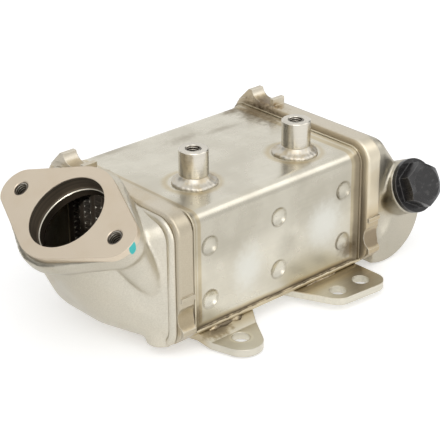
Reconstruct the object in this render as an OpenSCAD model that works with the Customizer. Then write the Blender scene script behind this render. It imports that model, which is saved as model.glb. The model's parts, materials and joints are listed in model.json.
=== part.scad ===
// Exhaust gas recirculation cooler: a brazed stainless casing between two dished
// headers, a cast gas tank at each end, mounting feet and threaded bosses.
// Millimetres, Z up. X runs along the tubes, Y from the front face to the back face.
// The origin is the centre of the gas inlet's face. The pieces are drawn with X and Y
// measured from the casing's middle and Z from its floor, and placed as the last step.

/* [Casing] */
// Length of the casing between the two headers
casing_l = 116.4; // [112:0.2:160]
// Width of the casing over its sides
casing_w = 91.4; // [90:0.2:110]
// Height of the casing shell above its floor
casing_h = 60; // [58:0.5:80]
// Thickness of the casing sheet
sheet_t = 1.5; // [1:0.1:2]
// Outer radius of the two long top edges
casing_edge_r = 6; // [4:0.5:10]
// Thickness of the floor sheet
floor_t = 2.6; // [2:0.1:4]
// How far the floor's edge stands out past the casing's side
floor_lip = 0.8; // [0.2:0.1:1.5]
// Height of the bead at each end of the casing
bead_h = 2; // [1.6:0.1:3]
// Width of that bead
bead_w = 1.4; // [1:0.1:2]
// Width of the groove between the bead and the header
bead_gap = 1.6; // [1:0.1:3]
// Length of the flare that leads up to the bead
flare_l = 6.5; // [3:0.1:10]
// Height of that flare
flare_h = 1.1; // [0.4:0.1:1.5]

/* [Dimples] */
// Diameter of a dimple at the casing's face
dimple_d = 10; // [7:0.5:12]
// Depth of a dimple
dimple_depth = 1.8; // [1:0.1:2.4]
// Pitch of the dimples along the casing
dimple_pitch = 45; // [20:0.5:45]
// Height of the lower row of dimples
dimple_low_z = 13.5; // [10:0.5:20]
// Height of the upper row of dimples
dimple_high_z = 42; // [32:0.5:46]

/* [Headers] */
// Width of the header's collar along the casing
collar_w = 9.8; // [8:0.1:16]
// How far the collar stands out past the casing
collar_proud = 4.5; // [3.6:0.1:6]
// Thickness of the collar's wall
collar_wall = 4; // [3:0.1:5]
// Outer corner radius of the collar
collar_r = 11; // [8:0.5:14]
// Radius of the collar's rounded edges
collar_edge_r = 1.8; // [0.5:0.1:2.5]
// Thickness of the tube plate
plate_t = 3; // [2:0.1:5]
// Gap left for braze between pieces that fit together
braze_gap = 0.1; // [0.05:0.05:0.2]

/* [Collar saddles] */
// Distance of the top saddle's tab from the centre of the collar's corner
saddle_l = 16.6; // [14:0.1:22]
// Distance of the front saddle's tab from the centre of the collar's corner
front_saddle_l = 14.4; // [13:0.1:18]
// Height of the top saddle's tab above the collar's face
tab_h = 3.8; // [1:0.1:5]
// Height of the front saddle's tab above the collar's face
front_tab_h = 0.9; // [0.2:0.1:3]
// Thickness of the tabs
tab_t = 2.4; // [1:0.1:3]
// Height of the top saddle's horn above the collar's face
horn_h = 4.7; // [3:0.1:5.5]
// Height of the front saddle's horn above the collar's face
front_horn_h = 1.3; // [0.5:0.1:3]
// Width of the horn's top
horn_top = 2.4; // [1:0.1:4]
// Radius of the top saddle's hollow, which ends at the collar's face
horn_r = 6; // [5.5:0.1:8]
// Radius of the front saddle's hollow
front_horn_r = 9; // [7:0.1:11]
// How far the front saddle's hollow cuts into the collar
front_notch = 1.8; // [0.5:0.1:1.9]

/* [Gas tubes] */
// Number of flat gas tubes
tube_count = 9; // [5:1:9]
// Thickness of a tube
tube_t = 6.4; // [5:0.1:7]
// Height of a tube
tube_h = 48; // [36:0.5:50]
// Wall of a tube
tube_wall = 0.6; // [0.4:0.1:1]
// Gap for coolant between the outer tubes and the casing's sides
tube_side_gap = 5; // [4:0.1:6]
// Thickness of the corrugated fin sheet
fin_t = 0.4; // [0.2:0.1:0.6]
// Pitch of the fin's webs
fin_pitch = 3; // [2:0.1:5]

/* [Inlet flange] */
// Distance of the flange's centre beyond the inlet header
flange_reach = 25.4; // [24:0.1:40]
// Height of the flange's centre above the floor
flange_z = 59.4; // [56:0.1:80]
// Tilt of the flange's face from level
flange_tilt = 34; // [25:0.5:40]
// Thickness of the flange down to its sloped back
flange_t = 9; // [6:0.5:12]
// Depth of the flange's sloped back
flange_back_t = 4; // [2:0.5:8]
// How far the flange's sloped back draws in
flange_back_draft = 2.4; // [0.5:0.1:4]
// Height of the machined pad on the flange's face
flange_pad_t = 3.4; // [2:0.1:5]
// Radius of the machined pad round the bore
flange_r = 26.6; // [25:0.1:32]
// How far the cast flange under the pad stands out below the bore
flange_ledge = 2.6; // [0.5:0.1:4]
// Radius of the flange's two ears
ear_r = 11.4; // [9:0.1:14]
// Distance between the two bolt holes
bolt_pitch = 72; // [64:0.5:84]
// Thread of the two bolt holes
flange_thread_d = 8; // [6:1:10]
// Depth of the two bolt holes
flange_thread_l = 20; // [12:0.5:26]
// Diameter of the gas bore
bore_d = 40.2; // [30:0.1:42]
// Depth of the gas bore down to its shoulder
bore_depth = 8; // [4:0.5:12]
// Diameter of the throat past the shoulder
throat_d = 38; // [26:0.1:38]

/* [Inlet tank] */
// Wall of the two cast tanks
tank_wall = 3.5; // [2.5:0.1:5]
// Radius of the hood's rounded bottom and ends
hood_r = 24; // [18:0.5:26]
// Distance of that radius's centre beyond the inlet header
hood_reach = 2.4; // [0:0.1:8]
// Height of that radius's centre above the floor
hood_z = 21; // [20:0.5:30]
// Drop of the hood's bottom below the floor where it meets the header
hood_drop = 3.8; // [1:0.1:4.2]
// Corner radius of the hood where it meets the header
hood_corner_r = 9; // [6:0.5:12]
// Radius of the cast pad under the hood's front corner
hood_pad_r = 7.2; // [4:0.1:8]
// Distance of that pad in front of the middle
hood_pad_out = 35.6; // [20:0.1:38]
// Height of that pad
hood_pad_h = 11; // [9:0.5:12]
// Half the straight width of the hood's nose
hood_nose = 10; // [4:0.5:20]
// Outer radius of the neck under the flange
neck_r = 25; // [23.5:0.1:26]
// Radius of a bolt boss where it meets the flange
ear_boss_r = 9.5; // [8:0.1:11]
// Radius of a bolt boss at its far end
ear_boss_end_r = 7; // [5:0.1:8]
// Length of a bolt boss from the flange's face
ear_boss_l = 38; // [28:0.5:42]

/* [Outlet tank] */
// Radius of the outlet bowl
bowl_r = 26; // [20:0.5:28]
// Distance of the bowl's centre beyond the outlet header
bowl_reach = 11; // [6:0.1:16]
// Height of the bowl's centre above the floor
bowl_z = 16; // [14:0.5:24]
// Length of the outlet tank's straight skirt beyond the header
outlet_skirt = 7; // [1:0.5:9]
// Distance of the bowl's two flat ends from the middle
bowl_half = 46; // [40:0.5:48]
// Width of the bevel round the bowl's ends
bowl_bevel = 1.6; // [0.5:0.1:3]
// How far the ramp from the header stops short of the bowl's ends
bowl_step = 6.4; // [2:0.1:12]
// Radius of the round dish in the bowl's front end, beside the header's saddle
dish_r = 16.4; // [12:0.1:18]
// Depth of that dish
dish_depth = 5.6; // [3:0.1:6]
// How far the dish's centre lies behind the header's end face
dish_back = 2; // [0:0.1:4]
// Height of the dish's centre above the floor
dish_z = 18; // [14:0.1:22]
// Outer diameter of the stub
stub_d = 28.6; // [26:0.1:34]
// Diameter of the stub's bore
stub_bore_d = 22; // [16:0.1:23]
// Tilt of the stub above level
stub_tilt = 24; // [10:0.5:35]
// Distance of the stub's axis beyond the outlet header
stub_reach = 22; // [18:0.1:26]
// Distance of the stub's mouth in front of the middle
stub_out = 52; // [48:0.5:60]
// Height of the stub's mouth above the floor
stub_z = 32.8; // [28:0.1:40]

/* [Transport plug] */
// Diameter of the plug's flange
plug_flange_d = 28.4; // [24:0.1:34]
// Thickness of the plug's flange
plug_flange_t = 2.6; // [1.5:0.1:4]
// Width of the plug's hexagon across its flats
hex_af = 20.8; // [16:0.1:23]
// Turn of the hexagon about the stub
hex_turn = 28; // [0:1:60]
// Height of the hexagon above the flange
hex_h = 8.5; // [5:0.1:12]
// Height of the hexagon's bevelled crown
crown_h = 2.1; // [0.5:0.1:4]
// Diameter of the flat on the crown
crown_d = 17.3; // [12:0.1:20]
// Length of the plug's shank
shank_l = 10; // [6:0.5:16]

/* [Top bosses] */
// Diameter of a boss
boss_d = 14.7; // [13:0.1:17]
// Height of a boss above the casing
boss_h = 17.5; // [10:0.5:30]
// Diameter of the flared foot of a boss
boss_foot_d = 20; // [18:0.1:26]
// Height of that flare
boss_foot_h = 2.5; // [1.5:0.1:4]
// Thread of a boss
boss_thread_d = 8; // [6:1:10]
// Depth of the threaded hole
boss_thread_l = 14; // [8:0.5:15]
// Place of the left boss along the casing
boss_left_x = -28.4; // [-40:0.1:-10]
// Distance of the left boss from the casing's front face
boss_left_in = 29.8; // [20:0.1:60]
// Place of the right boss along the casing
boss_right_x = 32.8; // [10:0.1:40]
// Distance of the right boss from the casing's front face
boss_right_in = 22.1; // [20:0.1:60]

/* [Feet] */
// Thickness of the two feet
foot_t = 3.8; // [2.5:0.1:5]
// Diameter of the holes in the feet
foot_hole_d = 9; // [7:0.1:10]
// Length of foot that lies under the casing
foot_lap = 12; // [8:0.5:20]
// Corner radius of the feet under the casing
foot_corner_r = 4; // [2:0.5:6]
// Distance from the casing's front face to the centres of the feet's outer rounds
foot_end_out = 14.9; // [13:0.1:20]
// Distance of the left foot's hole from the casing's front face
left_hole_out = 12.5; // [11:0.1:18]
// Place of the left foot's hole along the casing
left_hole_x = -36.8; // [-38:0.1:-34]
// Place of the left foot's round end along the casing
left_end_x = -38; // [-40:0.1:-34]
// Radius of the left foot's round end
left_end_r = 10.1; // [9:0.1:13]
// Place of the left end of the left foot's pad
left_pad_from = -55; // [-57:0.5:-48]
// Place of the right end of the left foot's pad
left_pad_to = -13.4; // [-22:0.1:-10]
// Drop of the left foot below the floor
left_drop = 2.6; // [1:0.1:6]
// Width of the left foot's sloping web
left_web_w = 7; // [4:0.1:8]
// Distance of the right foot's two holes from the casing's front face
right_hole_out = 14.5; // [12:0.1:18]
// Place of the middle of the right foot's two holes along the casing
right_hole_x = 35.8; // [30:0.1:40]
// Spacing of the right foot's two holes
right_hole_pitch = 16.5; // [13:0.1:18]
// Radius of the right foot's outer corners
right_corner_r = 8.2; // [7:0.1:10]
// Place of the centre of the left one of those corners along the casing
right_corner_from = 26.9; // [24:0.1:28]
// Place of the centre of the right one of those corners along the casing
right_corner_to = 47; // [44:0.1:50]
// How much further out the right one is centred than the left one
right_corner_step = 1.5; // [0:0.1:2]
// Place of the left end of the right foot's pad
right_pad_from = 7.6; // [0:0.1:14]
// Place of the right end of the right foot's pad
right_pad_to = 54.8; // [54:0.1:57]

/* [Coolant pipes] */
// Outer diameter of the hose pipes
pipe_d = 16; // [12:0.1:20]
// Wall of the hose pipes
pipe_wall = 1.2; // [0.8:0.1:2]
// Length of a hose pipe outside the casing
pipe_l = 24; // [18:0.5:26]
// Diameter of the collar brazed to the casing
pipe_collar_d = 22; // [21:0.1:26]
// Thickness of that collar
pipe_collar_t = 2; // [1:0.1:4]
// How far the hose bead stands out from the pipe
pipe_bead = 1; // [0.5:0.1:1.5]
// Place of the coolant inlet along the casing
coolant_in_x = 36; // [10:0.5:42]
// Place of the coolant outlet along the casing
coolant_out_x = -28; // [-42:0.5:-10]
// Height of the coolant pipes above the floor
coolant_z = 27.8; // [25:0.1:31]

/* [Hidden] */
$fn = 64;
hull_fn = 56;
cut = 1;

// Main planes
header_x = casing_l / 2;
end_x = header_x + collar_w;
tube_end_x = header_x + plate_t;
mid_z = casing_h / 2;
front_y = -casing_w / 2;
back_y = casing_w / 2;
pad_y = front_y + foot_lap;
foot_end_y = front_y - foot_end_out;

// Outlines of the header and of the tank that fits in it
collar_size = [casing_w + 2 * collar_proud, casing_h + 2 * collar_proud];
pocket_size = collar_size - 2 * collar_wall * [1, 1];
pocket_r = collar_r - collar_wall;
spigot_size = pocket_size - 2 * braze_gap * [1, 1];
spigot_r = pocket_r - braze_gap;
hollow_size = spigot_size - 2 * tank_wall * [1, 1];
hollow_r = spigot_r - tank_wall;
collar_top_z = mid_z + collar_size.y / 2;

// Gas inlet and stub
inlet_centre = [-end_x - flange_reach, 0, flange_z];
stub_mouth = [end_x + stub_reach, -stub_out, stub_z];
tap_drill = 0.85;
chamfer = 0.8;

// Row of gas tubes and the inside of one
tube_pitch = (casing_w - 2 * sheet_t - 2 * tube_side_gap - tube_t) / (tube_count - 1);
tube_room_t = tube_t - 2 * tube_wall;
fin_w = tube_room_t - 2 * braze_gap;
fin_webs = floor((tube_h - tube_t) / fin_pitch);

steel = "#d3cdc0";
tan_steel = "#cdb9a0";
cast = "#cfc9bb";

// Ends of the outer tangent from circle a to circle b, each [x, y, radius], on the right-hand side
function tangent(a, b) =
    let (d = [b.x - a.x, b.y - a.y],
         turn = atan2(d.y, d.x) - acos((a.z - b.z) / norm(d)),
         n = [cos(turn), sin(turn)])
    [[a.x, a.y] + a.z * n, [b.x, b.y] + b.z * n];

// Outline drawn tightly round a loop of circles, listed counter-clockwise
module tangent_outline(circles) {
    polygon([for (i = [0:len(circles) - 1]) each tangent(circles[i], circles[(i + 1) % len(circles)])]);
    for (c = circles) translate([c.x, c.y]) circle(c.z);
}

// Rectangle with round corners, centred
module round_rect(size, r) {
    square([size.x - 2 * r, size.y], center = true);
    square([size.x, size.y - 2 * r], center = true);
    for (sx = [-1, 1], sy = [-1, 1])
        translate([sx * (size.x / 2 - r), sy * (size.y / 2 - r)]) circle(r);
}

// Upright slot outline with full round ends, centred
module slot(size) {
    square([size.x, size.y - size.x], center = true);
    for (s = [-1, 1]) translate([0, s * (size.y - size.x) / 2]) circle(d = size.x);
}

// Flat-bottomed outline with two round top corners, standing on its base line
module tunnel(w, h, r) {
    translate([-w / 2, 0]) square([w, h - r]);
    translate([-w / 2 + r, 0]) square([w - 2 * r, h]);
    for (s = [-1, 1]) translate([s * (w / 2 - r), h - r]) circle(r);
}

// Extrudes an outline drawn in Y and Z along X, between two places
module along_x(from, to) {
    translate([from, 0, 0]) rotate([90, 0, 90]) linear_extrude(to - from) children();
}

// Sweeps a section round a rectangle with round corners; the section's X points outward
module sweep_round_rect(size, r) {
    for (k = [0:3]) rotate([0, 0, 90 * k]) {
        a = k % 2 == 0 ? size.x : size.y;
        b = k % 2 == 0 ? size.y : size.x;
        translate([a / 2, b / 2 - r, 0]) rotate([90, 0, 0]) linear_extrude(b - 2 * r) children();
        translate([a / 2 - r, b / 2 - r, 0]) rotate_extrude(angle = 90) translate([r, 0]) children();
    }
}

// Moves a piece from the flange's own frame: X up the slope, Y across, Z out of the face
module at_inlet() {
    translate(inlet_centre) rotate([0, -flange_tilt, 0]) children();
}

// Moves a piece from the stub's own frame: Z out of the mouth
module at_stub() {
    translate(stub_mouth) rotate([90 - stub_tilt, 0, 0]) children();
}

// Tapped hole going down from its mouth, with a chamfer
module tapped_hole(d, depth) {
    translate([0, 0, -depth]) cylinder(h = depth + cut, d = d * tap_drill);
    translate([0, 0, -chamfer])
        cylinder(h = 2 * chamfer, d1 = d * tap_drill, d2 = d * tap_drill + 4 * chamfer);
}

// Places one dimple's shape on both sides of the casing, with its Z pointing out
module at_dimples() {
    for (side = [-1, 1], k = [-1:1], z = [dimple_low_z, dimple_high_z])
        translate([k * dimple_pitch, side * back_y, z]) rotate([-90 * side, 0, 0]) children();
}

// Round dish of a dimple; grow adds the sheet behind it
module dimple_cup(grow) {
    r = (dimple_d * dimple_d / 4 + dimple_depth * dimple_depth) / (2 * dimple_depth);
    translate([0, 0, r - dimple_depth]) sphere(r + grow);
}

// Section of the casing's end: a hollow flare up to a round-topped bead
module casing_end_section() {
    r = (flare_l * flare_l + flare_h * flare_h) / (2 * flare_h);
    translate([-sheet_t / 2, -flare_l]) difference() {
        square([sheet_t / 2 + flare_h, flare_l]);
        translate([sheet_t / 2 + r, 0]) circle(r, $fn = 4 * $fn);
    }
    translate([-sheet_t / 2, 0]) square([sheet_t / 2 + bead_h - bead_w / 2, bead_w]);
    translate([bead_h - bead_w / 2, bead_w / 2]) circle(d = bead_w);
}

// Flare and bead round the three sides of the casing's right end
module casing_end() {
    size = [casing_w, 2 * casing_h];
    difference() {
        translate([header_x - bead_gap - bead_w, 0, 0]) rotate([90, 0, 90])
            sweep_round_rect(size, casing_edge_r) casing_end_section();
        translate([0, -casing_w, -2 * casing_h]) cube([casing_l, 2 * casing_w, 2 * casing_h]);
    }
}

module casing_shell() {
    inner_w = casing_w - 2 * sheet_t;
    inner_r = casing_edge_r - sheet_t;
    color(steel) difference() {
        union() {
            along_x(-header_x, header_x) tunnel(casing_w, casing_h, casing_edge_r);
            casing_end();
            mirror([1, 0, 0]) casing_end();
        }
        difference() {
            along_x(-header_x - cut, header_x + cut) {
                tunnel(inner_w, casing_h - sheet_t, inner_r);
                translate([-inner_w / 2, -cut]) square([inner_w, 2 * cut]);
            }
            at_dimples() dimple_cup(sheet_t);
        }
        at_dimples() dimple_cup(0);
        for (x = [coolant_in_x, coolant_out_x]) at_coolant(x) translate([0, 0, -casing_w / 2])
            cylinder(h = casing_w, d = pipe_d + 2 * braze_gap);
    }
}

module casing_floor() {
    color(steel) along_x(-header_x, header_x) translate([0, -floor_t / 2]) {
        square([casing_w + 2 * floor_lip - floor_t, floor_t], center = true);
        for (s = [-1, 1]) translate([s * (casing_w / 2 + floor_lip - floor_t / 2), 0]) circle(d = floor_t);
    }
}

module collar_section() {
    translate([-collar_wall, 0]) square([collar_wall - collar_edge_r, collar_w]);
    translate([-collar_edge_r, collar_edge_r]) square([collar_edge_r, collar_w - 2 * collar_edge_r]);
    for (v = [collar_edge_r, collar_w - collar_edge_r]) translate([-collar_edge_r, v]) circle(collar_edge_r);
}

// Moves an outline to the collar's top back corner: X towards the corner, Y out of the collar
module at_top_saddle() {
    translate([collar_size.x / 2 - collar_r, mid_z + collar_size.y / 2 - collar_r]) children();
}

// Moves an outline to the collar's front bottom corner: X towards the corner, Y out of the collar
module at_front_saddle() {
    translate([collar_r - collar_size.x / 2, mid_z + collar_r - collar_size.y / 2])
        mirror([1, 1]) children();
}

// Where the slope that leaves the collar's corner at its middle reaches the top of a horn h high
function horn_x(h) = collar_r * (sqrt(2) - 1) - h;

// Place of the centre of a saddle's hollow beside a horn h high, radius r, cut into the collar by notch
function hollow_x(h, r, notch) = horn_x(h) - horn_top - sqrt(pow(r, 2) - pow(r - notch - h, 2));

module saddle_hollow(h, r, notch) {
    translate([hollow_x(h, r, notch), collar_r + r - notch]) circle(r);
}

// Saddle between a square tab and a horn that leaves the collar's corner at its middle
module saddle_outline(l, tab, h, r, notch) {
    half = collar_r / sqrt(2);
    root = collar_r - collar_wall / 2;
    back = hollow_x(h, r, notch);
    translate([-l - tab_t, root]) square([tab_t, collar_r + tab - root]);
    difference() {
        polygon([[back, root], [half, half - collar_wall / 2], [half, half],
                 [horn_x(h), collar_r + h], [back, collar_r + h]]);
        saddle_hollow(h, r, notch);
    }
}

module header_right() {
    color(tan_steel) difference() {
        union() {
            translate([header_x, 0, mid_z]) rotate([90, 0, 90])
                sweep_round_rect(collar_size, collar_r) collar_section();
            along_x(header_x, tube_end_x) translate([0, mid_z])
                round_rect(pocket_size + 2 * cut * [1, 1], pocket_r + cut);
            along_x(header_x + chamfer, end_x - chamfer) {
                at_top_saddle() saddle_outline(saddle_l, tab_h, horn_h, horn_r, 0);
                at_front_saddle()
                    saddle_outline(front_saddle_l, front_tab_h, front_horn_h, front_horn_r, front_notch);
            }
        }
        along_x(header_x - cut, end_x + cut) at_front_saddle()
            saddle_hollow(front_horn_h, front_horn_r, front_notch);
        for (i = [1:tube_count]) at_tube(i) along_x(header_x - cut, tube_end_x + cut)
            slot([tube_t, tube_h] + 2 * braze_gap * [1, 1]);
    }
}

module inlet_header() mirror([1, 0, 0]) header_right();
module outlet_header() header_right();

module at_tube(i) {
    translate([0, (i - (tube_count + 1) / 2) * tube_pitch, mid_z]) children();
}

module gas_tube(i) {
    color(steel) at_tube(i) along_x(-tube_end_x, tube_end_x) difference() {
        slot([tube_t, tube_h]);
        slot([tube_room_t, tube_h - 2 * tube_wall]);
    }
}

// Square-wave fin: webs across the tube, joined by crests on alternate sides
module gas_fin(i) {
    first = -(fin_webs - 1) / 2 * fin_pitch;
    color(steel) at_tube(i) along_x(-tube_end_x, tube_end_x)
        for (k = [0:fin_webs - 1]) translate([0, first + k * fin_pitch]) {
            square([fin_w, fin_t], center = true);
            side = k % 2 == 0 ? 1 : -1;
            if (k < fin_webs - 1)
                translate([side * (fin_w - fin_t) / 2, fin_pitch / 2])
                    square([fin_t, fin_pitch + fin_t], center = true);
        }
}

// Hood between the header and the neck; inset draws it in for the hollow
module hood(inset) {
    base = [spigot_size.x, mid_z + spigot_size.y / 2 + hood_drop];
    $fn = hull_fn;
    hull() {
        along_x(-end_x - cut, -end_x) translate([0, base.y / 2 - hood_drop])
            round_rect(base - 2 * inset * [1, 1], hood_corner_r - inset);
        for (s = [-1, 1]) translate([-end_x - hood_reach, s * hood_nose, hood_z]) sphere(hood_r - inset);
        at_inlet() translate([0, 0, -flange_t - flange_back_t])
            cylinder(h = flange_back_t, r = neck_r - inset);
    }
}

// Circles of the flange, each [up the slope, across, radius], with the middle one grown
function flange_circles(grow) =
    let (ear = bolt_pitch / 2)
    [[0, ear, ear_r], [0, 0, flange_r + grow], [0, -ear, ear_r], [0, 0, flange_r + grow]];

module inlet_flange() {
    translate([0, 0, -flange_pad_t]) linear_extrude(flange_pad_t) tangent_outline(flange_circles(0));
    translate([0, 0, -flange_t]) linear_extrude(flange_t - flange_pad_t)
        tangent_outline(flange_circles(flange_ledge));
    translate([0, 0, -flange_t - flange_back_t]) hull() for (c = flange_circles(flange_ledge))
        translate([c.x, c.y, 0])
            cylinder(h = flange_back_t, r1 = c.z - flange_back_draft, r2 = c.z, $fn = hull_fn);
    for (s = [-1, 1]) translate([0, s * bolt_pitch / 2, -ear_boss_l])
        cylinder(h = ear_boss_l - flange_t, r1 = ear_boss_end_r, r2 = ear_boss_r);
}

module inlet_tank() {
    color(cast) difference() {
        union() {
            along_x(-end_x, -tube_end_x - braze_gap) translate([0, mid_z]) round_rect(spigot_size, spigot_r);
            difference() {
                union() {
                    hood(0);
                    at_inlet() inlet_flange();
                    translate([-end_x, -hood_pad_out, -hood_drop - cut])
                        cylinder(h = hood_pad_h, r = hood_pad_r);
                }
                translate([-end_x, -casing_w, -casing_h])
                    cube([casing_l, 2 * casing_w, casing_h + collar_top_z + horn_h + braze_gap]);
            }
        }
        hood(tank_wall);
        along_x(-end_x - cut, -tube_end_x) translate([0, mid_z]) round_rect(hollow_size, hollow_r);
        at_inlet() {
            translate([0, 0, -bore_depth]) cylinder(h = bore_depth + cut, d = bore_d);
            translate([0, 0, -flange_t - flange_back_t])
                cylinder(h = flange_t + flange_back_t, d = throat_d);
            for (s = [-1, 1]) translate([0, s * bolt_pitch / 2, 0])
                tapped_hole(flange_thread_d, flange_thread_l);
        }
    }
}

// Bowl behind the outlet header; inset draws it in for the hollow
module bowl(inset) {
    r = bowl_r - inset;
    half = bowl_half - inset;
    size = spigot_size - 2 * inset * [1, 1];
    centre = [end_x + bowl_reach, 0, bowl_z];
    $fn = hull_fn;
    hull() {
        along_x(end_x, end_x + outlet_skirt - inset)
            translate([0, mid_z]) round_rect(size, spigot_r - inset);
        translate(centre) rotate([90, 0, 0])
            cylinder(h = 2 * (half - bowl_step), r = r - bowl_bevel, center = true);
    }
    translate(centre) rotate([90, 0, 0]) {
        cylinder(h = 2 * (half - bowl_bevel), r = r, center = true);
        for (s = [0, 1]) mirror([0, 0, s]) translate([0, 0, half - bowl_bevel])
            cylinder(h = bowl_bevel, r1 = r, r2 = r - bowl_bevel);
    }
}

// Round dish in the bowl's front end; grow adds the wall behind it
module bowl_dish(grow) {
    r = (dish_r * dish_r + dish_depth * dish_depth) / (2 * dish_depth);
    translate([end_x - dish_back, dish_depth - bowl_half - r, dish_z]) sphere(r + grow, $fn = hull_fn);
}

// Room beside the outlet header's end face, on the header's side
module outlet_side() {
    translate([end_x - casing_l, -casing_w, -casing_h]) cube([casing_l, 2 * casing_w, 3 * casing_h]);
}

module outlet_tank() {
    color(cast) difference() {
        union() {
            along_x(tube_end_x + braze_gap, end_x) translate([0, mid_z]) round_rect(spigot_size, spigot_r);
            difference() {
                bowl(0);
                outlet_side();
                bowl_dish(0);
            }
            at_stub() translate([0, 0, -stub_out]) cylinder(h = stub_out, d = stub_d);
        }
        difference() {
            bowl(tank_wall);
            outlet_side();
            bowl_dish(tank_wall);
        }
        along_x(tube_end_x, end_x + cut) translate([0, mid_z]) round_rect(hollow_size, hollow_r);
        at_stub() translate([0, 0, -stub_out]) cylinder(h = stub_out + cut, d = stub_bore_d);
    }
}

module transport_plug() {
    hex_corner_d = hex_af / cos(30);
    crown_z = plug_flange_t + hex_h - crown_h;
    color("#262423") at_stub() {
        cylinder(h = plug_flange_t, d = plug_flange_d);
        rotate([0, 0, hex_turn]) intersection() {
            cylinder(h = plug_flange_t + hex_h, d = hex_corner_d, $fn = 6);
            union() {
                cylinder(h = crown_z, d = hex_corner_d + cut);
                translate([0, 0, crown_z]) cylinder(h = crown_h, d1 = hex_corner_d + cut, d2 = crown_d);
            }
        }
        translate([0, 0, -shank_l]) cylinder(h = shank_l, d = stub_bore_d - 2 * braze_gap);
    }
}

module top_boss(x, in) {
    color(steel) translate([x, front_y + in, casing_h]) difference() {
        union() {
            cylinder(h = boss_h - chamfer / 2, d = boss_d);
            translate([0, 0, boss_h - chamfer / 2])
                cylinder(h = chamfer / 2, d1 = boss_d, d2 = boss_d - chamfer);
            cylinder(h = boss_foot_h, d1 = boss_foot_d, d2 = boss_d);
        }
        translate([0, 0, boss_h]) tapped_hole(boss_thread_d, boss_thread_l);
    }
}

module top_boss_left() top_boss(boss_left_x, boss_left_in);
module top_boss_right() top_boss(boss_right_x, boss_right_in);

// Formed foot: a pad under the floor, a sloping web and a lower flat with one hole
module left_foot() {
    flat_y = front_y - left_web_w;
    tip_y = foot_end_y - left_end_r - cut;
    top_z = -floor_t;
    flat_z = top_z - left_drop;
    bend = foot_t * tan(atan2(left_drop, left_web_w) / 2);
    plan = [[left_end_x, foot_end_y, left_end_r],
            [left_pad_to - foot_corner_r, pad_y - foot_corner_r, foot_corner_r],
            [left_pad_from + foot_corner_r, pad_y - foot_corner_r, foot_corner_r]];
    section = [[pad_y, top_z], [front_y, top_z], [flat_y, flat_z], [tip_y, flat_z], [tip_y, flat_z - foot_t],
               [flat_y + bend, flat_z - foot_t], [front_y + bend, top_z - foot_t], [pad_y, top_z - foot_t]];
    color(steel) difference() {
        intersection() {
            along_x(-header_x, header_x) polygon(section);
            translate([0, 0, -casing_h]) linear_extrude(casing_h) tangent_outline(plan);
        }
        translate([left_hole_x, front_y - left_hole_out, -casing_h]) cylinder(h = casing_h, d = foot_hole_d);
    }
}

// Flat foot with two holes
module right_foot() {
    plan = [[right_corner_from, foot_end_y, right_corner_r],
            [right_corner_to, foot_end_y - right_corner_step, right_corner_r],
            [right_pad_to - foot_corner_r, pad_y - foot_corner_r, foot_corner_r],
            [right_pad_from + foot_corner_r, pad_y - foot_corner_r, foot_corner_r]];
    color(steel) translate([0, 0, -floor_t - foot_t]) linear_extrude(foot_t) difference() {
        tangent_outline(plan);
        for (s = [-1, 1]) translate([right_hole_x + s * right_hole_pitch / 2, front_y - right_hole_out])
            circle(d = foot_hole_d);
    }
}

// Moves a piece onto the back face, with its Z pointing out
module at_coolant(x) {
    translate([x, back_y, coolant_z]) rotate([-90, 0, 0]) children();
}

module coolant_pipe(x) {
    r = pipe_d / 2;
    bead_z = pipe_l - 3 * pipe_bead;
    color(steel) at_coolant(x) rotate_extrude() difference() {
        union() {
            translate([0, -sheet_t]) square([r, pipe_l + sheet_t]);
            square([pipe_collar_d / 2, pipe_collar_t]);
            translate([r, bead_z]) circle(pipe_bead);
        }
        translate([0, -sheet_t - cut]) square([r - pipe_wall, pipe_l + sheet_t + 2 * cut]);
    }
}

module coolant_inlet_pipe() coolant_pipe(coolant_in_x);
module coolant_outlet_pipe() coolant_pipe(coolant_out_x);

// Puts the origin at the centre of the gas inlet's face
module place() {
    translate(-inlet_centre) children();
}

place() casing_shell();
place() casing_floor();
place() inlet_header();
place() outlet_header();
place() inlet_tank();
place() outlet_tank();
place() transport_plug();
place() top_boss_left();
place() top_boss_right();
place() left_foot();
place() right_foot();
place() coolant_inlet_pipe();
place() coolant_outlet_pipe();
for (i = [1:tube_count]) place() gas_tube(i);
for (i = [1:tube_count]) place() gas_fin(i);
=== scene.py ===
"""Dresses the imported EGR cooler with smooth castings, threads, welds and finishes, on a studio stage."""

import json
import math

import bmesh
import bpy
import numpy as np
from bpy.props import FloatProperty, FloatVectorProperty, IntProperty, PointerProperty
from mathutils import Matrix, Vector


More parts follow.
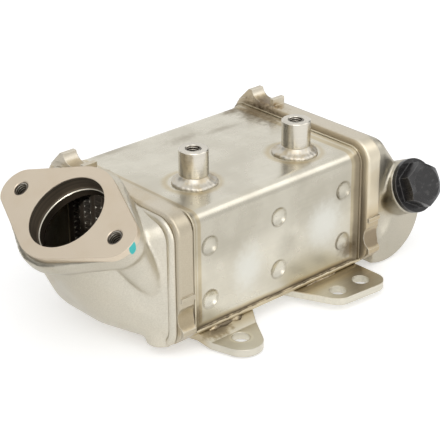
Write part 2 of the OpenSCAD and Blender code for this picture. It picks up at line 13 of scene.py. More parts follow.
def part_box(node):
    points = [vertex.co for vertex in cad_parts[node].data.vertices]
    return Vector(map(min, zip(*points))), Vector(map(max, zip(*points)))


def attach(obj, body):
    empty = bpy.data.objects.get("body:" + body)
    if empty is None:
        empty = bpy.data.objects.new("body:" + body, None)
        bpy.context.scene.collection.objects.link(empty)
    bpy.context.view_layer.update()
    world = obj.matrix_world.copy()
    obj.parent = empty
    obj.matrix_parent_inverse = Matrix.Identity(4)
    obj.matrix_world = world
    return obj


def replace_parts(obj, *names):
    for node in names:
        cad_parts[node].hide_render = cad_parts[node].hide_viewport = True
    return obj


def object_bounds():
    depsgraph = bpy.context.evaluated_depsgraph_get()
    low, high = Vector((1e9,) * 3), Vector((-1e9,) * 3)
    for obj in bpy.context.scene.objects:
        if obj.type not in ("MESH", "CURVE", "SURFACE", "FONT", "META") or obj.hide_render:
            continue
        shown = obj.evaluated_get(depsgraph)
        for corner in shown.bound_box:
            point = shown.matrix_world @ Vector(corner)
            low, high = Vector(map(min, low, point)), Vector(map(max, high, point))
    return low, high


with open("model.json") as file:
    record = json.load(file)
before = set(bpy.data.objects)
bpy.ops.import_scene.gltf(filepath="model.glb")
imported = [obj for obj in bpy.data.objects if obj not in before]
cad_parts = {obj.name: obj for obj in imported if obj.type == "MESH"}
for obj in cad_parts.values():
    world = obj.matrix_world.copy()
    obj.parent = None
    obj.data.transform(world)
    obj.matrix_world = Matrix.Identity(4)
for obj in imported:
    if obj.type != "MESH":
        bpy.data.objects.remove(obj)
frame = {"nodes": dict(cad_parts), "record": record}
CAD_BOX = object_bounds()

bl_info = {
    "name": "EGR Cooler Looks",
    "version": (1, 0, 0),
    "blender": (4, 5, 0),
    "location": "3D View > Sidebar > Cooler",
    "description": "Castings, threads, welds and finishes of a stainless exhaust gas cooler",
    "category": "Object",
}

MM = 0.001
NODES = frame["nodes"]
MOUNTS = {m["name"]: m for m in frame["record"]["mounts"]}

# The gas inlet's face has its centre at the origin
GAS_INLET = MOUNTS["gas_inlet"]["dims"]
FACE_CENTRE = (0, 0, 0)
FACE_OUT = Vector(MOUNTS["gas_inlet"]["axis"]).normalized()
BOLT_REACH = MOUNTS["inlet_bolts"]["dims"]["pcd_mm"] / 2 * MM

# The casing: its floor sheet, its top, and its sides below the beads at both ends
BEAD_RISE = 2 * MM
SHEET_LOW, SHEET_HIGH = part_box("casing_floor")
FLOOR_TOP_Z = SHEET_HIGH.z
TOP_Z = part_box("top_boss_left")[0].z
BOSS_TOP_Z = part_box("top_boss_left")[1].z
FRONT_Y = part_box("casing_shell")[0].y + BEAD_RISE
MID_X = (SHEET_LOW.x + SHEET_HIGH.x) / 2
MID_Z = (SHEET_LOW.z + TOP_Z) / 2
HALF_X = (SHEET_HIGH.x - SHEET_LOW.x) / 2

# Outline of the hood where it leaves the collar: corners in Y and Z, and corner radius
HOOD_RIM = ((-46.1 * MM, -63.2 * MM), (46.1 * MM, 1 * MM))
HOOD_RIM_RADIUS = 9 * MM

# Dimples in the casing's sides: pitch along X, heights of the two rows and radius
DIMPLE_PITCH = 45 * MM
DIMPLE_ROWS = (-45.9 * MM, -17.4 * MM)
DIMPLE_RADIUS = 5 * MM

# Pitch of the fins' webs along Z
FIN_PITCH = 3 * MM

# Patches of the finishes: centre and size in millimetres, softness of the edge and its raggedness
TOP = TOP_Z / MM
SIDE = FRONT_Y / MM
FLUX_STAINS = (((149, 27, TOP), (15, 28, 4), 0.8, 1.1), ((140, 39, TOP), (12, 8, 4), 1.0, 1.1),
               ((143, SIDE, -51), (10, 3, 9), 0.9, 0.7), ((39, SIDE, -52), (6, 3, 10), 0.9, 0.7))
TOP_SMEARS = (((58, 40, TOP), (16, 5, 4), 1.0, 0.8), ((97, 28, TOP), (17, 6, 4), 1.0, 1.2),
              ((119, 24, TOP), (17, 4, 4), 1.0, 1.2))
# Hazy patches on the front side, partly a painted reflection of bright upright bands
SIDE_HAZE_AND_SHEEN = (((125, SIDE, -32), (17, 4, 18), 0.8, 0.5), ((73, SIDE, -38), (14, 4, 18), 0.9, 0.6))
# A darker patch on the front side
SIDE_DARK_PATCH = ((99, SIDE, -34), (13, 4, 15), 0.9, 0.5)
COLLAR_FLUX = ((154, 27, 3), (6, 22, 5), 0.8, 1.1)
# Painted shade on the stub of the outlet bowl
STUB_SHADE = ((178, -37, -31), (19, 18, 17), 0.6, 0.3)
PAINT_DAB = ((1.2, -47.6, -1.7), (2.3, 2.6, 3.6), 0.25, 0.35)
FOOT_HEAT = ((51, -48, -63), (15, 7, 6), 0.9, 0.8)
FOOT_BURN = ((50, -48.5, -62), (13, 5, 5), 0.5, 1.6)

# Colours of the milky, hazy patches on the casing, partly a painted reflection, and of the dust on the plug,
# partly painted highlights on its edges
HAZE_AND_SHEEN_COLOUR = (0.72, 0.715, 0.66)
DUST_AND_HIGHLIGHT_COLOUR = (0.16, 0.155, 0.15)

# Skin of the hood behind its liners: gap to the bore's liner, and radius, reach and depth at a tapped hole
LINER_GAP = 0.7 * MM
HOLE_SKIN = (4.0 * MM, 4.8 * MM, 21 * MM)
LINER_WALL = 1.2 * MM
PAD_OVERLAP = 0.15 * MM
SHARP_ANGLE = math.radians(30)
JOIN_DISTANCE = 0.002 * MM

# Smoothing of a skin: shares of the shrinking and swelling passes, and the width held beside a collar
SHRINK, SWELL = 0.55, -0.4
HELD_WIDTH = 3 * MM

# Threads: depth of the first turn, points round a turn and rows to a pitch
THREAD_START = 0.3 * MM
THREAD_STEPS = 36
THREAD_ROWS = 6

# Points round the other turned pieces, and along the cove of the hood's weld
BORE_STEPS = 128
WELD_STEPS = 120
COVE_STEPS = 7

# Weld beads: regular swelling, its turn from point to point, random swelling and shift, and narrowest end
BEAD_SWELL, BEAD_TURN, BEAD_RANDOM, BEAD_SHIFT, BEAD_END = 0.16, 0.9, 0.09, 0.12, 0.25
BEAD_SIDES = 14

# Places of the beads: the seam's distance out of its corner, margin and step, and the feet's ends in shares
SEAM_OUT, SEAM_MARGIN, SEAM_STEP = 0.1 * MM, 3 * MM, 1.3 * MM
FOOT_WELD_IN, FOOT_WELD_STEP, FOOT_WELD_ENDS = 0.3 * MM, 1.2 * MM, (0.2, 0.75)

# Flared section of a boss's weld, in shares of its width and height, and its ripples
WELD_SECTION = ((0, 0), (0, 1), (0.1, 0.86), (0.22, 0.68), (0.38, 0.52), (0.55, 0.41),
                (0.72, 0.34), (0.86, 0.28), (0.95, 0.19), (1, 0.08), (0.99, -0.01))
WELD_WAVES = (1, 2, 3, 5, 8)
WELD_SWELL = 0.26
WELD_BEADS = 26
WELD_BEAD_HEIGHT = 0.08 * MM

# Lamps and cards: name, turn to the camera's right and rise in degrees, sides in metres, and brightness
LAMPS = (("edge_light", 95, 42, 0.5, 0.5, 0.95), ("front_light", 27, 14, 0.4, 0.4, 2.0),
         ("strip_light", -10, 26, 0.07, 0.6, 1.5))
CARDS = (("left_card", -92, 16, 1.0, 0.6, 0.1), ("camera_card", -24, 27, 0.2, 0.5, 0.12),
         ("right_card", 138, 24, 0.5, 0.5, 0.15), ("back_card", 180, 20, 0.7, 0.4, 0.96))
STUDIO_RADIUS = 1.0
KEY_FROM = (-0.45, -0.5, 0.85)
KEY_ANGLE = math.radians(50)
BORE_LIGHT_FROM = Vector((-33, -22, 17)).normalized()
BORE_LIGHT_DISTANCE = 0.6
FLOOR_SIZE = 8.0
FLOOR_GAP = 0.1 * MM
FLOOR_GLOW = 0.42
SENSOR_WIDTH = 36
CORNERS = ((-1, -1), (1, -1), (1, 1), (-1, 1))


def length_property(name, description, size, **limits):
    """A length whose default is given in millimetres."""
    return FloatProperty(name=name, description=description, default=size * MM, unit="LENGTH", **limits)


def angle_property(name, description, degrees):
    """An angle whose default is given in degrees."""
    return FloatProperty(name=name, description=description, default=math.radians(degrees), subtype="ANGLE")


def colour_property(name, description, *default):
    return FloatVectorProperty(name=name, description=description, default=default, size=3, subtype="COLOR")


class CastingSizes(bpy.types.PropertyGroup):
    """Sizes of the two castings' smooth skins."""

    voxel: length_property("Voxel", "Grid of the casting's skin", 0.9, min=0.5 * MM)
    passes: IntProperty(name="Smoothing", description="Smoothing passes that round the casting", min=1,
                        default=22)
    pad_depth: length_property("Pad depth", "Depth of the machined pad below the inlet's face", 3.3)
    bore_radius: length_property("Bore radius", "Radius of the inlet's counterbore", GAS_INLET["r_mm"])
    bore_depth: length_property("Bore depth", "Depth of the counterbore's shoulder", GAS_INLET["length_mm"])
    throat_radius: length_property("Throat radius", "Radius of the bore past the shoulder", 19)
    throat_depth: length_property("Throat depth", "Depth of the throat's end", 13)


class ThreadSizes(bpy.types.PropertyGroup):
    """Sizes of the tapped holes' threads."""

    pitch: length_property("Pitch", "Pitch of the threads", 1.25)
    root: length_property("Root radius", "Radius at the thread's root", 3.39)
    crest: length_property("Crest radius", "Radius at the thread's crest", 2.95)
    wall: length_property("Wall", "Metal behind the thread's root", 0.8)
    flange_length: length_property("Flange length", "Length of the flange's threads", 18.5)
    boss_length: length_property("Boss length", "Length of the bosses' threads", 13)


class WeldSizes(bpy.types.PropertyGroup):
    """Sizes of the welds."""

    boss_radius: length_property("Boss weld radius", "Inner radius of the weld round a boss", 7.2)
    boss_width: length_property("Boss weld width", "Width of that weld", 4.3)
    boss_height: length_property("Boss weld height", "Height of that weld on the boss", 4.6)
    seam_radius: length_property("Seam weld radius", "Radius of the weld along the floor's seam", 0.55)
    rim_width: length_property("Rim weld width", "Width of the weld between hood and collar", 2.8)
    rim_length: length_property("Rim weld length", "Length of that weld along the hood", 2.6)
    foot_radius: length_property("Foot weld radius", "Radius of the welds on the feet", 1.3)


class FinishColours(bpy.types.PropertyGroup):
    """Colours of the metals, their stains and the plug."""

    sheet: colour_property("Sheet", "Rolled stainless sheet", 0.70, 0.665, 0.565)
    collar: colour_property("Collar", "Brazed collar", 0.64, 0.585, 0.48)
    casting: colour_property("Casting", "Blasted casting", 0.66, 0.62, 0.525)
    machined: colour_property("Machined", "Machined face of the flange", 0.66, 0.57, 0.45)
    turned: colour_property("Turned", "Turned bosses", 0.68, 0.64, 0.56)
    thread: colour_property("Thread", "Oily tapped thread", 0.42, 0.39, 0.35)
    straw: colour_property("Straw", "Light heat tint", 0.88, 0.805, 0.67)
    brown: colour_property("Brown", "Strong heat tint and flux", 0.45, 0.395, 0.325)
    soot: colour_property("Soot", "Sooty inside", 0.05, 0.043, 0.034)
    plug: colour_property("Plug", "Black moulding", 0.012, 0.011, 0.011)
    paint: colour_property("Paint", "Paint dot on the flange's edge", 0.05, 0.52, 0.50)


class StageSettings(bpy.types.PropertyGroup):
    """Camera, floor and light."""

    camera_place: FloatVectorProperty(name="Camera", description="Place of the camera", subtype="TRANSLATION",
                                      size=3, default=(-0.3896, -0.5431, 0.3159))
    azimuth: angle_property("Azimuth", "Turn of the view from the Y axis", 41.791)
    elevation: angle_property("Elevation", "Angle of the view below the horizon", 25.776)
    roll: angle_property("Roll", "Turn of the camera about its view", -0.569)
    lens: FloatProperty(name="Lens", description="Focal length in millimetres", default=129.5)
    sun: FloatProperty(name="Key light", description="Strength of the soft key light", default=0.8)
    fill: FloatProperty(name="Fill", description="Light of the room on matt surfaces", default=0.62)


class CoolerSettings(bpy.types.PropertyGroup):
    """All the cooler's settings."""

    castings: PointerProperty(type=CastingSizes)
    threads: PointerProperty(type=ThreadSizes)
    welds: PointerProperty(type=WeldSizes)
    colours: PointerProperty(type=FinishColours)
    stage: PointerProperty(type=StageSettings)


class NodeSketch:
    """Adds nodes to one shader tree and joins them."""

    def __init__(self, tree):
        self.tree = tree

    def feed(self, socket, value):
        if isinstance(value, bpy.types.NodeSocket):
            self.tree.links.new(value, socket)
        elif socket.type == "RGBA" and len(value) == 3:
            socket.default_value = (*value, 1.0)
        else:
            socket.default_value = value

    def add(self, kind, inputs=None, **settings):
        node = self.tree.nodes.new(kind)
        for name, value in settings.items():
            setattr(node, name, value)
        for name, value in (inputs or {}).items():
            self.feed(node.inputs[name], value)
        return node

    def maths(self, operation, a, b=0.0, clamp=False):
        return self.add("ShaderNodeMath", {0: a, 1: b}, operation=operation, use_clamp=clamp).outputs[0]

    def plus(self, a, b):
        return self.maths("ADD", a, b)

    def minus(self, a, b):
        return self.maths("SUBTRACT", a, b)

    def times(self, product, *others):
        for other in others:
            product = self.maths("MULTIPLY", product, other)
        return product

    def most(self, total, *others):
        for other in others:
            total = self.maths("MAXIMUM", total, other)
        return total

    def apart(self, value, middle=0.0):
        """Distance of a value from the middle."""
        return self.maths("ABSOLUTE", self.minus(value, middle))

    def vector_maths(self, operation, a, b):
        return self.add("ShaderNodeVectorMath", {0: a, 1: b}, operation=operation).outputs["Vector"]

    def dot(self, a, b):
        return self.add("ShaderNodeVectorMath", {0: a, 1: b}, operation="DOT_PRODUCT").outputs["Value"]

    def noise(self, vector, scale, detail=2.0, roughness=0.5):
        inputs = {"Vector": vector, "Scale": scale, "Detail": detail, "Roughness": roughness}
        return self.add("ShaderNodeTexNoise", inputs).outputs["Fac"]

    def stretched(self, vector, scale):
        return self.vector_maths("MULTIPLY", vector, scale)

    def fade(self, value, start, end, low=0.0, high=1.0):
        """Smooth step from low at start to high at end."""
        inputs = {"Value": value, "From Min": start, "From Max": end, "To Min": low, "To Max": high}
        return self.add("ShaderNodeMapRange", inputs, interpolation_type="SMOOTHSTEP").outputs["Result"]

    def span(self, value, low, high):
        """Straight line from low at 0 to high at 1."""
        inputs = {"Value": value, "To Min": low, "To Max": high}
        return self.add("ShaderNodeMapRange", inputs).outputs["Result"]

    def mix(self, factor, a, b, blend="MIX"):
        node = self.add("ShaderNodeMix", data_type="RGBA", blend_type=blend)
        for index, value in ((0, factor), (6, a), (7, b)):
            self.feed(node.inputs[index], value)
        return node.outputs[2]

    def shade(self, colour, tone):
        """The colour times a tone."""
        return self.mix(1.0, colour, tone, "MULTIPLY")

    def toned(self, mask, colour, tone):
        """The colour, times a tone where the mask is 1."""
        return self.mix(mask, colour, self.shade(colour, tone))

    def separate(self, vector):
        return self.add("ShaderNodeSeparateXYZ", {0: vector}).outputs

    def group(self, name, **inputs):
        node = self.add("ShaderNodeGroup", node_tree=bpy.data.node_groups[name])
        for key, value in inputs.items():
            self.feed(node.inputs[key], value)
        return node.outputs


class Finish(NodeSketch):
    """One metal or moulding: a material, its place coordinates and its surface."""

    def __init__(self, name):
        self.material = bpy.data.materials.new(name)
        self.material.use_nodes = True
        super().__init__(self.material.node_tree)
        self.surface = self.tree.nodes["Principled BSDF"]
        self.place = self.add("ShaderNodeTexCoord").outputs["Object"]
        self.x, self.y, self.z = self.separate(self.place)

    def grain(self, name):
        """Streaks or pits, clouds and height of a grain."""
        return self.group(name, Place=self.place)

    def heated(self, metal, heat):
        """The metal's colour under a heat tint."""
        return self.group("Heat tint", Metal=metal, Heat=heat)["Colour"]

    def spot(self, centre, size, edge, ragged):
        """Soft patch round a place, sizes in millimetres."""
        return self.group("Patch", Place=self.place, Centre=Vector(centre) * MM, Size=Vector(size) * MM,
                          Edge=edge, Ragged=ragged)["Mask"]

    def spots(self, patches):
        return self.most(*[self.spot(*patch) for patch in patches])

    def depth(self):
        """Depth below the gas inlet's face."""
        return self.dot(self.place, -FACE_OUT)

    def paint_dot(self):
        """Dab of paint on the side of the flange's front ear."""
        return self.times(self.spot(*PAINT_DAB), self.fade(self.depth(), 0.15 * MM, 0.6 * MM))

    def band(self, value, middle, half):
        """Soft stripe round one value."""
        return self.fade(self.apart(value, middle), half, 2 * half, 1.0, 0.0)

    def true_normal(self):
        return self.add("ShaderNodeNewGeometry").outputs["True Normal"]

    def rounded_normal(self, radius, samples):
        """Normal with sharp edges rounded; the radius is in millimetres."""
        return self.add("ShaderNodeBevel", {"Radius": radius * MM}, samples=samples).outputs["Normal"]

    def worn_and_highlit_edge(self, reach):
        """1 along sharp edges, where the rounded normal leaves the true one; reach is in millimetres."""
        return self.fade(self.dot(self.rounded_normal(reach, 6), self.true_normal()), 0.99, 0.9)

    def dimple_shade_rings(self):
        """Painted shade: soft dark ring at the edge of each dimple."""
        reach = self.apart(self.x, MID_X)
        across = self.maths("MINIMUM", reach, self.apart(reach, DIMPLE_PITCH))
        low, high = DIMPLE_ROWS
        rise = self.minus(self.apart(self.z, (low + high) / 2), (high - low) / 2)
        squares = self.plus(self.times(across, across), self.times(rise, rise))
        return self.band(self.maths("SQRT", squares), DIMPLE_RADIUS - 0.2 * MM, 0.4 * MM)

    def complete(self, colour, roughness, height, edge=0.35, metallic=1.0):
        """Feeds the surface; height is in metres and edge is the rounding of sharp edges in millimetres."""
        inputs = {"Distance": 1.0, "Height": height, "Normal": self.rounded_normal(edge, 4)}
        bump = self.add("ShaderNodeBump", inputs).outputs["Normal"]
        for name, value in (("Base Color", colour), ("Roughness", roughness), ("Metallic", metallic),
                            ("Normal", bump)):
            self.feed(self.surface.inputs[name], value)
        return self.material


FLOAT, VECTOR, COLOUR = "NodeSocketFloat", "NodeSocketVector", "NodeSocketColor"


def new_group(name, inputs, outputs):
    """Starts a shader node group and returns its sketch, its input sockets and its output node's sockets."""
    tree = bpy.data.node_groups.new(name, "ShaderNodeTree")
    for side, sockets in (("INPUT", inputs), ("OUTPUT", outputs)):
        for socket, kind in sockets.items():
            tree.interface.new_socket(socket, in_out=side, socket_type=kind)
    sketch = NodeSketch(tree)
    return sketch, sketch.add("NodeGroupInput").outputs, sketch.add("NodeGroupOutput").inputs


def make_patch_group():
    """Soft patch with a ragged edge round a place."""
    inputs = {"Place": VECTOR, "Centre": VECTOR, "Size": VECTOR, "Edge": FLOAT, "Ragged": FLOAT}
    n, given, out = new_group("Patch", inputs, {"Mask": FLOAT})
    offset = n.vector_maths("SUBTRACT", given["Place"], given["Centre"])
    shares = n.vector_maths("DIVIDE", offset, given["Size"])
    distance = n.add("ShaderNodeVectorMath", {0: shares}, operation="LENGTH").outputs["Value"]
    rough = n.minus(n.noise(given["Place"], 380.0, 4.0, 0.6), 0.5)
    distance = n.plus(distance, n.times(rough, given["Ragged"]))
    n.feed(out["Mask"], n.fade(distance, n.minus(1.0, given["Edge"]), 1.0, 1.0, 0.0))


def make_rolled_group():
    """Rolled sheet: fine streaks along X over slow clouds, with a faint waviness."""
    outputs = {"Streaks": FLOAT, "Clouds": FLOAT, "Height": FLOAT}
    n, given, out = new_group("Rolled grain", {"Place": VECTOR}, outputs)
    place = given["Place"]
    streaks = n.noise(n.stretched(place, (30, 900, 900)), 1.0, 3.0, 0.6)
    hairlines = n.noise(n.stretched(place, (160, 5200, 5200)), 1.0, 1.0)
    waves = n.times(n.noise(place, 38.0, 1.0), 0.16 * MM)
    lines = n.plus(n.times(hairlines, 0.001 * MM), n.times(streaks, 0.0025 * MM))
    n.feed(out["Streaks"], streaks)
    n.feed(out["Clouds"], n.noise(place, 34.0, 4.0, 0.55))
    n.feed(out["Height"], n.plus(waves, lines))


def make_blasted_group():
    """Blasted or cast skin: fine pits over soft unevenness."""
    outputs = {"Pits": FLOAT, "Clouds": FLOAT, "Height": FLOAT}
    n, given, out = new_group("Blasted grain", {"Place": VECTOR}, outputs)
    place = given["Place"]
    pits = n.noise(place, 1500.0, 3.0, 0.6)
    lumps = n.noise(place, 210.0, 2.0, 0.5)
    n.feed(out["Pits"], pits)
    n.feed(out["Clouds"], n.noise(place, 30.0, 4.0, 0.55))
    n.feed(out["Height"], n.plus(n.times(pits, 0.035 * MM), n.times(lumps, 0.12 * MM)))


def make_tint_group(colours):
    """Heat tint on bare metal: straw first, then brown."""
    n, given, out = new_group("Heat tint", {"Metal": COLOUR, "Heat": FLOAT}, {"Colour": COLOUR})
    metal, heat = given["Metal"], given["Heat"]
    straw = n.toned(n.fade(heat, 0.0, 0.5), metal, colours.straw)
    n.feed(out["Colour"], n.mix(n.fade(heat, 0.4, 1.0), straw, n.shade(metal, colours.brown)))


def finish_of(builder):
    """The finish that a function builds, named after it and made the first time it is asked for."""
    colours = bpy.context.scene.cooler.colours
    if not bpy.data.node_groups:
        make_patch_group()
        make_rolled_group()
        make_blasted_group()
        make_tint_group(colours)
    name = builder.__name__.replace("_", " ").capitalize()
    return bpy.data.materials.get(name) or builder(Finish(name), colours)


# Finishes: f is the finish in the making and c holds the colours
def casing_sheet(f, c):
    """Rolled casing: streaks, hazy patches that are partly painted reflection, heat at the ends, bosses and
    bottom seam, flux stains, painted shade round the dimples and along the bottom seam, and sides darker
    towards their top.
    """
    streaks, clouds, bumps = f.grain("Rolled grain")
    reach = f.apart(f.x, MID_X)
    wander = f.times(f.minus(clouds, 0.5), 9 * MM)
    ends = f.fade(f.plus(reach, wander), HALF_X - 13 * MM, HALF_X - 1 * MM, 0.0, 0.3)
    stripes = f.most(f.band(reach, HALF_X - 6.4 * MM, 0.9 * MM), f.band(reach, HALF_X - 3.4 * MM, 0.6 * MM))
    ends = f.most(ends, f.times(stripes, f.span(clouds, 0.25, 0.75)))
    height = f.plus(f.z, f.times(wander, 0.35))
    seam = f.fade(height, FLOOR_TOP_Z + 0.4 * MM, FLOOR_TOP_Z + 4.5 * MM, 0.95, 0.0)
    side = f.fade(f.apart(f.y), -FRONT_Y - 2.5 * MM, -FRONT_Y - 0.5 * MM)
    along = f.plus(f.x, f.times(wander, 0.5))
    braze = f.times(side, f.fade(along, SHEET_HIGH.x - 8.5 * MM, SHEET_HIGH.x - 4.5 * MM, 0.0, 0.85))
    heat = f.most(ends, seam, braze)
    for boss in ("left", "right"):
        x, y, z = boss_point(boss, TOP_Z) / MM
        outer = f.spot((x - 1, y, z), (17.5, 17.5, 6), 0.3, 0.12)
        inner = f.spot((x - 0.5, y, z), (14, 14, 6), 0.2, 0.1)
        heat = f.most(heat, f.times(f.maths("SUBTRACT", outer, inner, clamp=True), 0.5))
    stains = f.most(f.spots(FLUX_STAINS), f.times(f.spots(TOP_SMEARS), 0.4))
    haze_and_sheen = f.spots(SIDE_HAZE_AND_SHEEN)
    metal = f.toned(f.fade(streaks, 0.7, 0.3), c.sheet, (0.97, 0.97, 0.975))
    metal = f.toned(f.fade(clouds, 0.35, 0.68, 0.0, 0.8), metal, (0.82, 0.81, 0.79))
    # The sides are darker towards their top and in one patch
    upper = f.fade(f.plus(f.z, wander), -33 * MM, -18 * MM, 0.1, 0.9)
    dull = f.times(side, f.most(upper, f.times(f.spot(*SIDE_DARK_PATCH), 0.7)))
    metal = f.toned(dull, metal, (0.75, 0.745, 0.735))
    # Partly a painted reflection: the front side is lighter and milky in upright bands
    metal = f.mix(f.times(haze_and_sheen, 0.85), metal, HAZE_AND_SHEEN_COLOUR)
    # Painted shade: a soft dark ring round each dimple
    rings = f.times(side, f.dimple_shade_rings(), f.fade(streaks, 0.3, 0.6, 0.2, 0.8))
    metal = f.toned(rings, metal, (0.72, 0.70, 0.66))
    height = f.plus(f.z, f.times(wander, 0.3))
    # Grime and painted shade: darker in the crease along the bottom seam, and towards the bottom beside the
    # right collar
    grime_and_shade = f.fade(height, FLOOR_TOP_Z + 0.6 * MM, FLOOR_TOP_Z + 2.6 * MM, 0.75, 0.0)
    grime_and_shade = f.most(grime_and_shade, f.times(braze, f.fade(f.z, -20 * MM, -44 * MM, 0.0, 0.75)))
    tinted = f.toned(grime_and_shade, f.heated(metal, heat), (0.56, 0.55, 0.54))
    flux = f.shade(f.shade(tinted, c.brown), (0.8, 0.78, 0.75))
    colour = f.mix(f.times(stains, 0.95), tinted, flux)
    roughness = f.plus(f.span(clouds, 0.2, 0.34), f.times(haze_and_sheen, 0.16))
    roughness = f.plus(roughness, f.times(f.most(heat, stains), 0.2))
    return f.complete(colour, roughness, bumps, edge=0.5)


def floor_sheet(f, c):
    """Floor sheet: browned along its lip."""
    _, clouds, bumps = f.grain("Rolled grain")
    lip = f.fade(f.apart(f.y), SHEET_HIGH.y - 2.4 * MM, SHEET_HIGH.y - 0.6 * MM)
    ends = f.fade(f.apart(f.x, MID_X), HALF_X - 14 * MM, HALF_X, 0.0, 0.5)
    heat = f.times(f.most(lip, ends), f.span(clouds, 0.2, 0.8))
    metal = f.toned(f.fade(clouds, 0.35, 0.7, 0.0, 0.6), c.sheet, (0.84, 0.82, 0.78))
    return f.complete(f.heated(metal, heat), f.span(clouds, 0.24, 0.46), bumps)


def brazed_collar(f, c):
    """Header collar: tan braze tint, browner at the right end and in the groove, brown in the hollow of each
    saddle as heat tint and painted shade, worn edges that are partly painted highlights, and sooty inside.
    """
    pits, clouds, bumps = f.grain("Blasted grain")
    right = f.fade(f.x, MID_X, MID_X + 10 * MM)
    proud = f.most(f.minus(f.apart(f.y), -FRONT_Y), f.minus(f.z, TOP_Z))
    sides = f.fade(f.z, TOP_Z - 6 * MM, TOP_Z - 1 * MM, 0.6, 0.15)
    strength = f.plus(0.4, f.times(right, f.minus(sides, 0.4)))
    groove = f.times(f.fade(proud, 0.3 * MM, 1.4 * MM, 1.0, 0.0), strength)
    saddles = []
    for x in (SHEET_LOW.x / MM - 5, SHEET_HIGH.x / MM + 5):
        saddles.append(((x, 30, 4), (12, 11, 4), 0.6, 0.4))
        saddles.append(((x, -49, -50), (12, 3.4, 9), 0.5, 0.4))
    # Painted shade with heat tint: the hollow of each saddle is browned
    hollow_tint_and_shade = f.times(f.spots(saddles), f.plus(f.span(right, 0.62, 0.9), f.span(clouds, -0.2, 0.2)))
    smoke_and_shade = f.fade(clouds, 0.46, 0.66, 0.0, 0.3)
    facing = f.fade(f.y, FRONT_Y + 8 * MM, FRONT_Y)
    lower = f.fade(f.z, -24 * MM, -40 * MM)
    front = f.times(facing, f.span(f.times(right, lower), 0.2, 0.6))
    wall = f.fade(f.apart(f.separate(f.true_normal())["X"]), 0.6, 0.85)
    browned = f.times(wall, right, f.fade(f.z, -10 * MM, -30 * MM, 0.45, 0.8))
    flux = f.times(right, f.spot(*COLLAR_FLUX))
    metal = f.toned(f.fade(pits, 0.65, 0.35), c.collar, (0.94, 0.93, 0.92))
    metal = f.toned(f.times(facing, f.span(right, 1.0, 0.0)), metal, (0.84, 0.84, 0.83))
    clean = f.times(facing, right, f.minus(1.0, lower))
    metal = f.mix(clean, metal, f.shade(c.sheet, (1.02, 1.0, 0.98)))
    tinted = f.heated(metal, f.most(groove, smoke_and_shade, hollow_tint_and_shade, front, flux, browned))
    tinted = f.toned(flux, tinted, (0.62, 0.56, 0.5))
    # Worn edges, partly painted highlights: the edges are lightened to bare sheet
    rubbed_and_highlit = f.times(f.worn_and_highlit_edge(0.7), f.fade(clouds, 0.35, 0.6, 0.25, 0.8))
    inside = f.times(f.fade(f.apart(f.y), 43.5 * MM, 42 * MM),
                     f.fade(f.apart(f.z, MID_Z), 29 * MM, 27.5 * MM))
    colour = f.mix(inside, f.mix(rubbed_and_highlit, tinted, c.sheet), f.shade(c.soot, (0.8, 0.72, 0.66)))
    metallic = f.times(f.span(wall, 1.0, 0.2), f.minus(1.0, inside))
    return f.complete(colour, f.span(clouds, 0.26, 0.5), f.times(bumps, 0.4), edge=0.6, metallic=metallic)


def cast_skin(f, c):
    """Blasted casting: satin, with a little heat where it meets the collar, painted shade round the stub, and
    painted shade on the outlet bowl and the hood's outer left end.
    """
    pits, clouds, bumps = f.grain("Blasted grain")
    near = f.fade(f.apart(f.x, MID_X), HALF_X + 9 * MM, HALF_X + 12 * MM, 0.25, 0.0)
    # Painted shade round the stub, over a cloudy heat tint
    smoke_and_shade = f.most(f.times(f.spot(*STUB_SHADE), 0.8), f.fade(clouds, 0.5, 0.7, 0.0, 0.25))
    metal = f.toned(f.fade(pits, 0.68, 0.32), c.casting, (0.9, 0.89, 0.88))
    metal = f.toned(f.fade(clouds, 0.3, 0.6), metal, (0.93, 0.94, 0.95))
    # Painted shade: the outlet bowl and the hood's outer left end are darker
    far_shade = f.most(f.fade(f.x, SHEET_HIGH.x, SHEET_HIGH.x + 5 * MM), f.fade(f.x, 14 * MM, -10 * MM, 0.0, 0.85))
    metal = f.toned(far_shade, metal, (0.80, 0.79, 0.77))
    dot = f.paint_dot()
    colour = f.mix(dot, f.heated(metal, f.most(near, smoke_and_shade)), c.paint)
    roughness = f.plus(f.span(pits, 0.3, 0.48), f.times(dot, 0.1))
    return f.complete(colour, roughness, bumps, metallic=f.minus(1.0, dot))


def machined_face(f, c):
    """Machined pad of the flange: fine lay round the bore, a tan tint and a paint dot over its edge."""
    rings = f.add("ShaderNodeTexWave", {"Vector": f.place, "Scale": 260.0, "Distortion": 1.2, "Detail": 2.0},
                  wave_type="RINGS", rings_direction="SPHERICAL").outputs["Fac"]
    smudge = f.noise(f.place, 60.0, 4.0, 0.6)
    dot = f.paint_dot()
    colour = f.mix(dot, f.heated(c.machined, f.fade(smudge, 0.35, 0.75, 0.0, 0.16)), c.paint)
    roughness = f.plus(f.span(smudge, 0.26, 0.42), f.times(rings, 0.05))
    height = f.plus(f.times(rings, 0.0035 * MM), f.times(f.grain("Rolled grain")["Height"], 0.25))
    return f.complete(colour, roughness, height, edge=0.45, metallic=f.minus(1.0, dot))


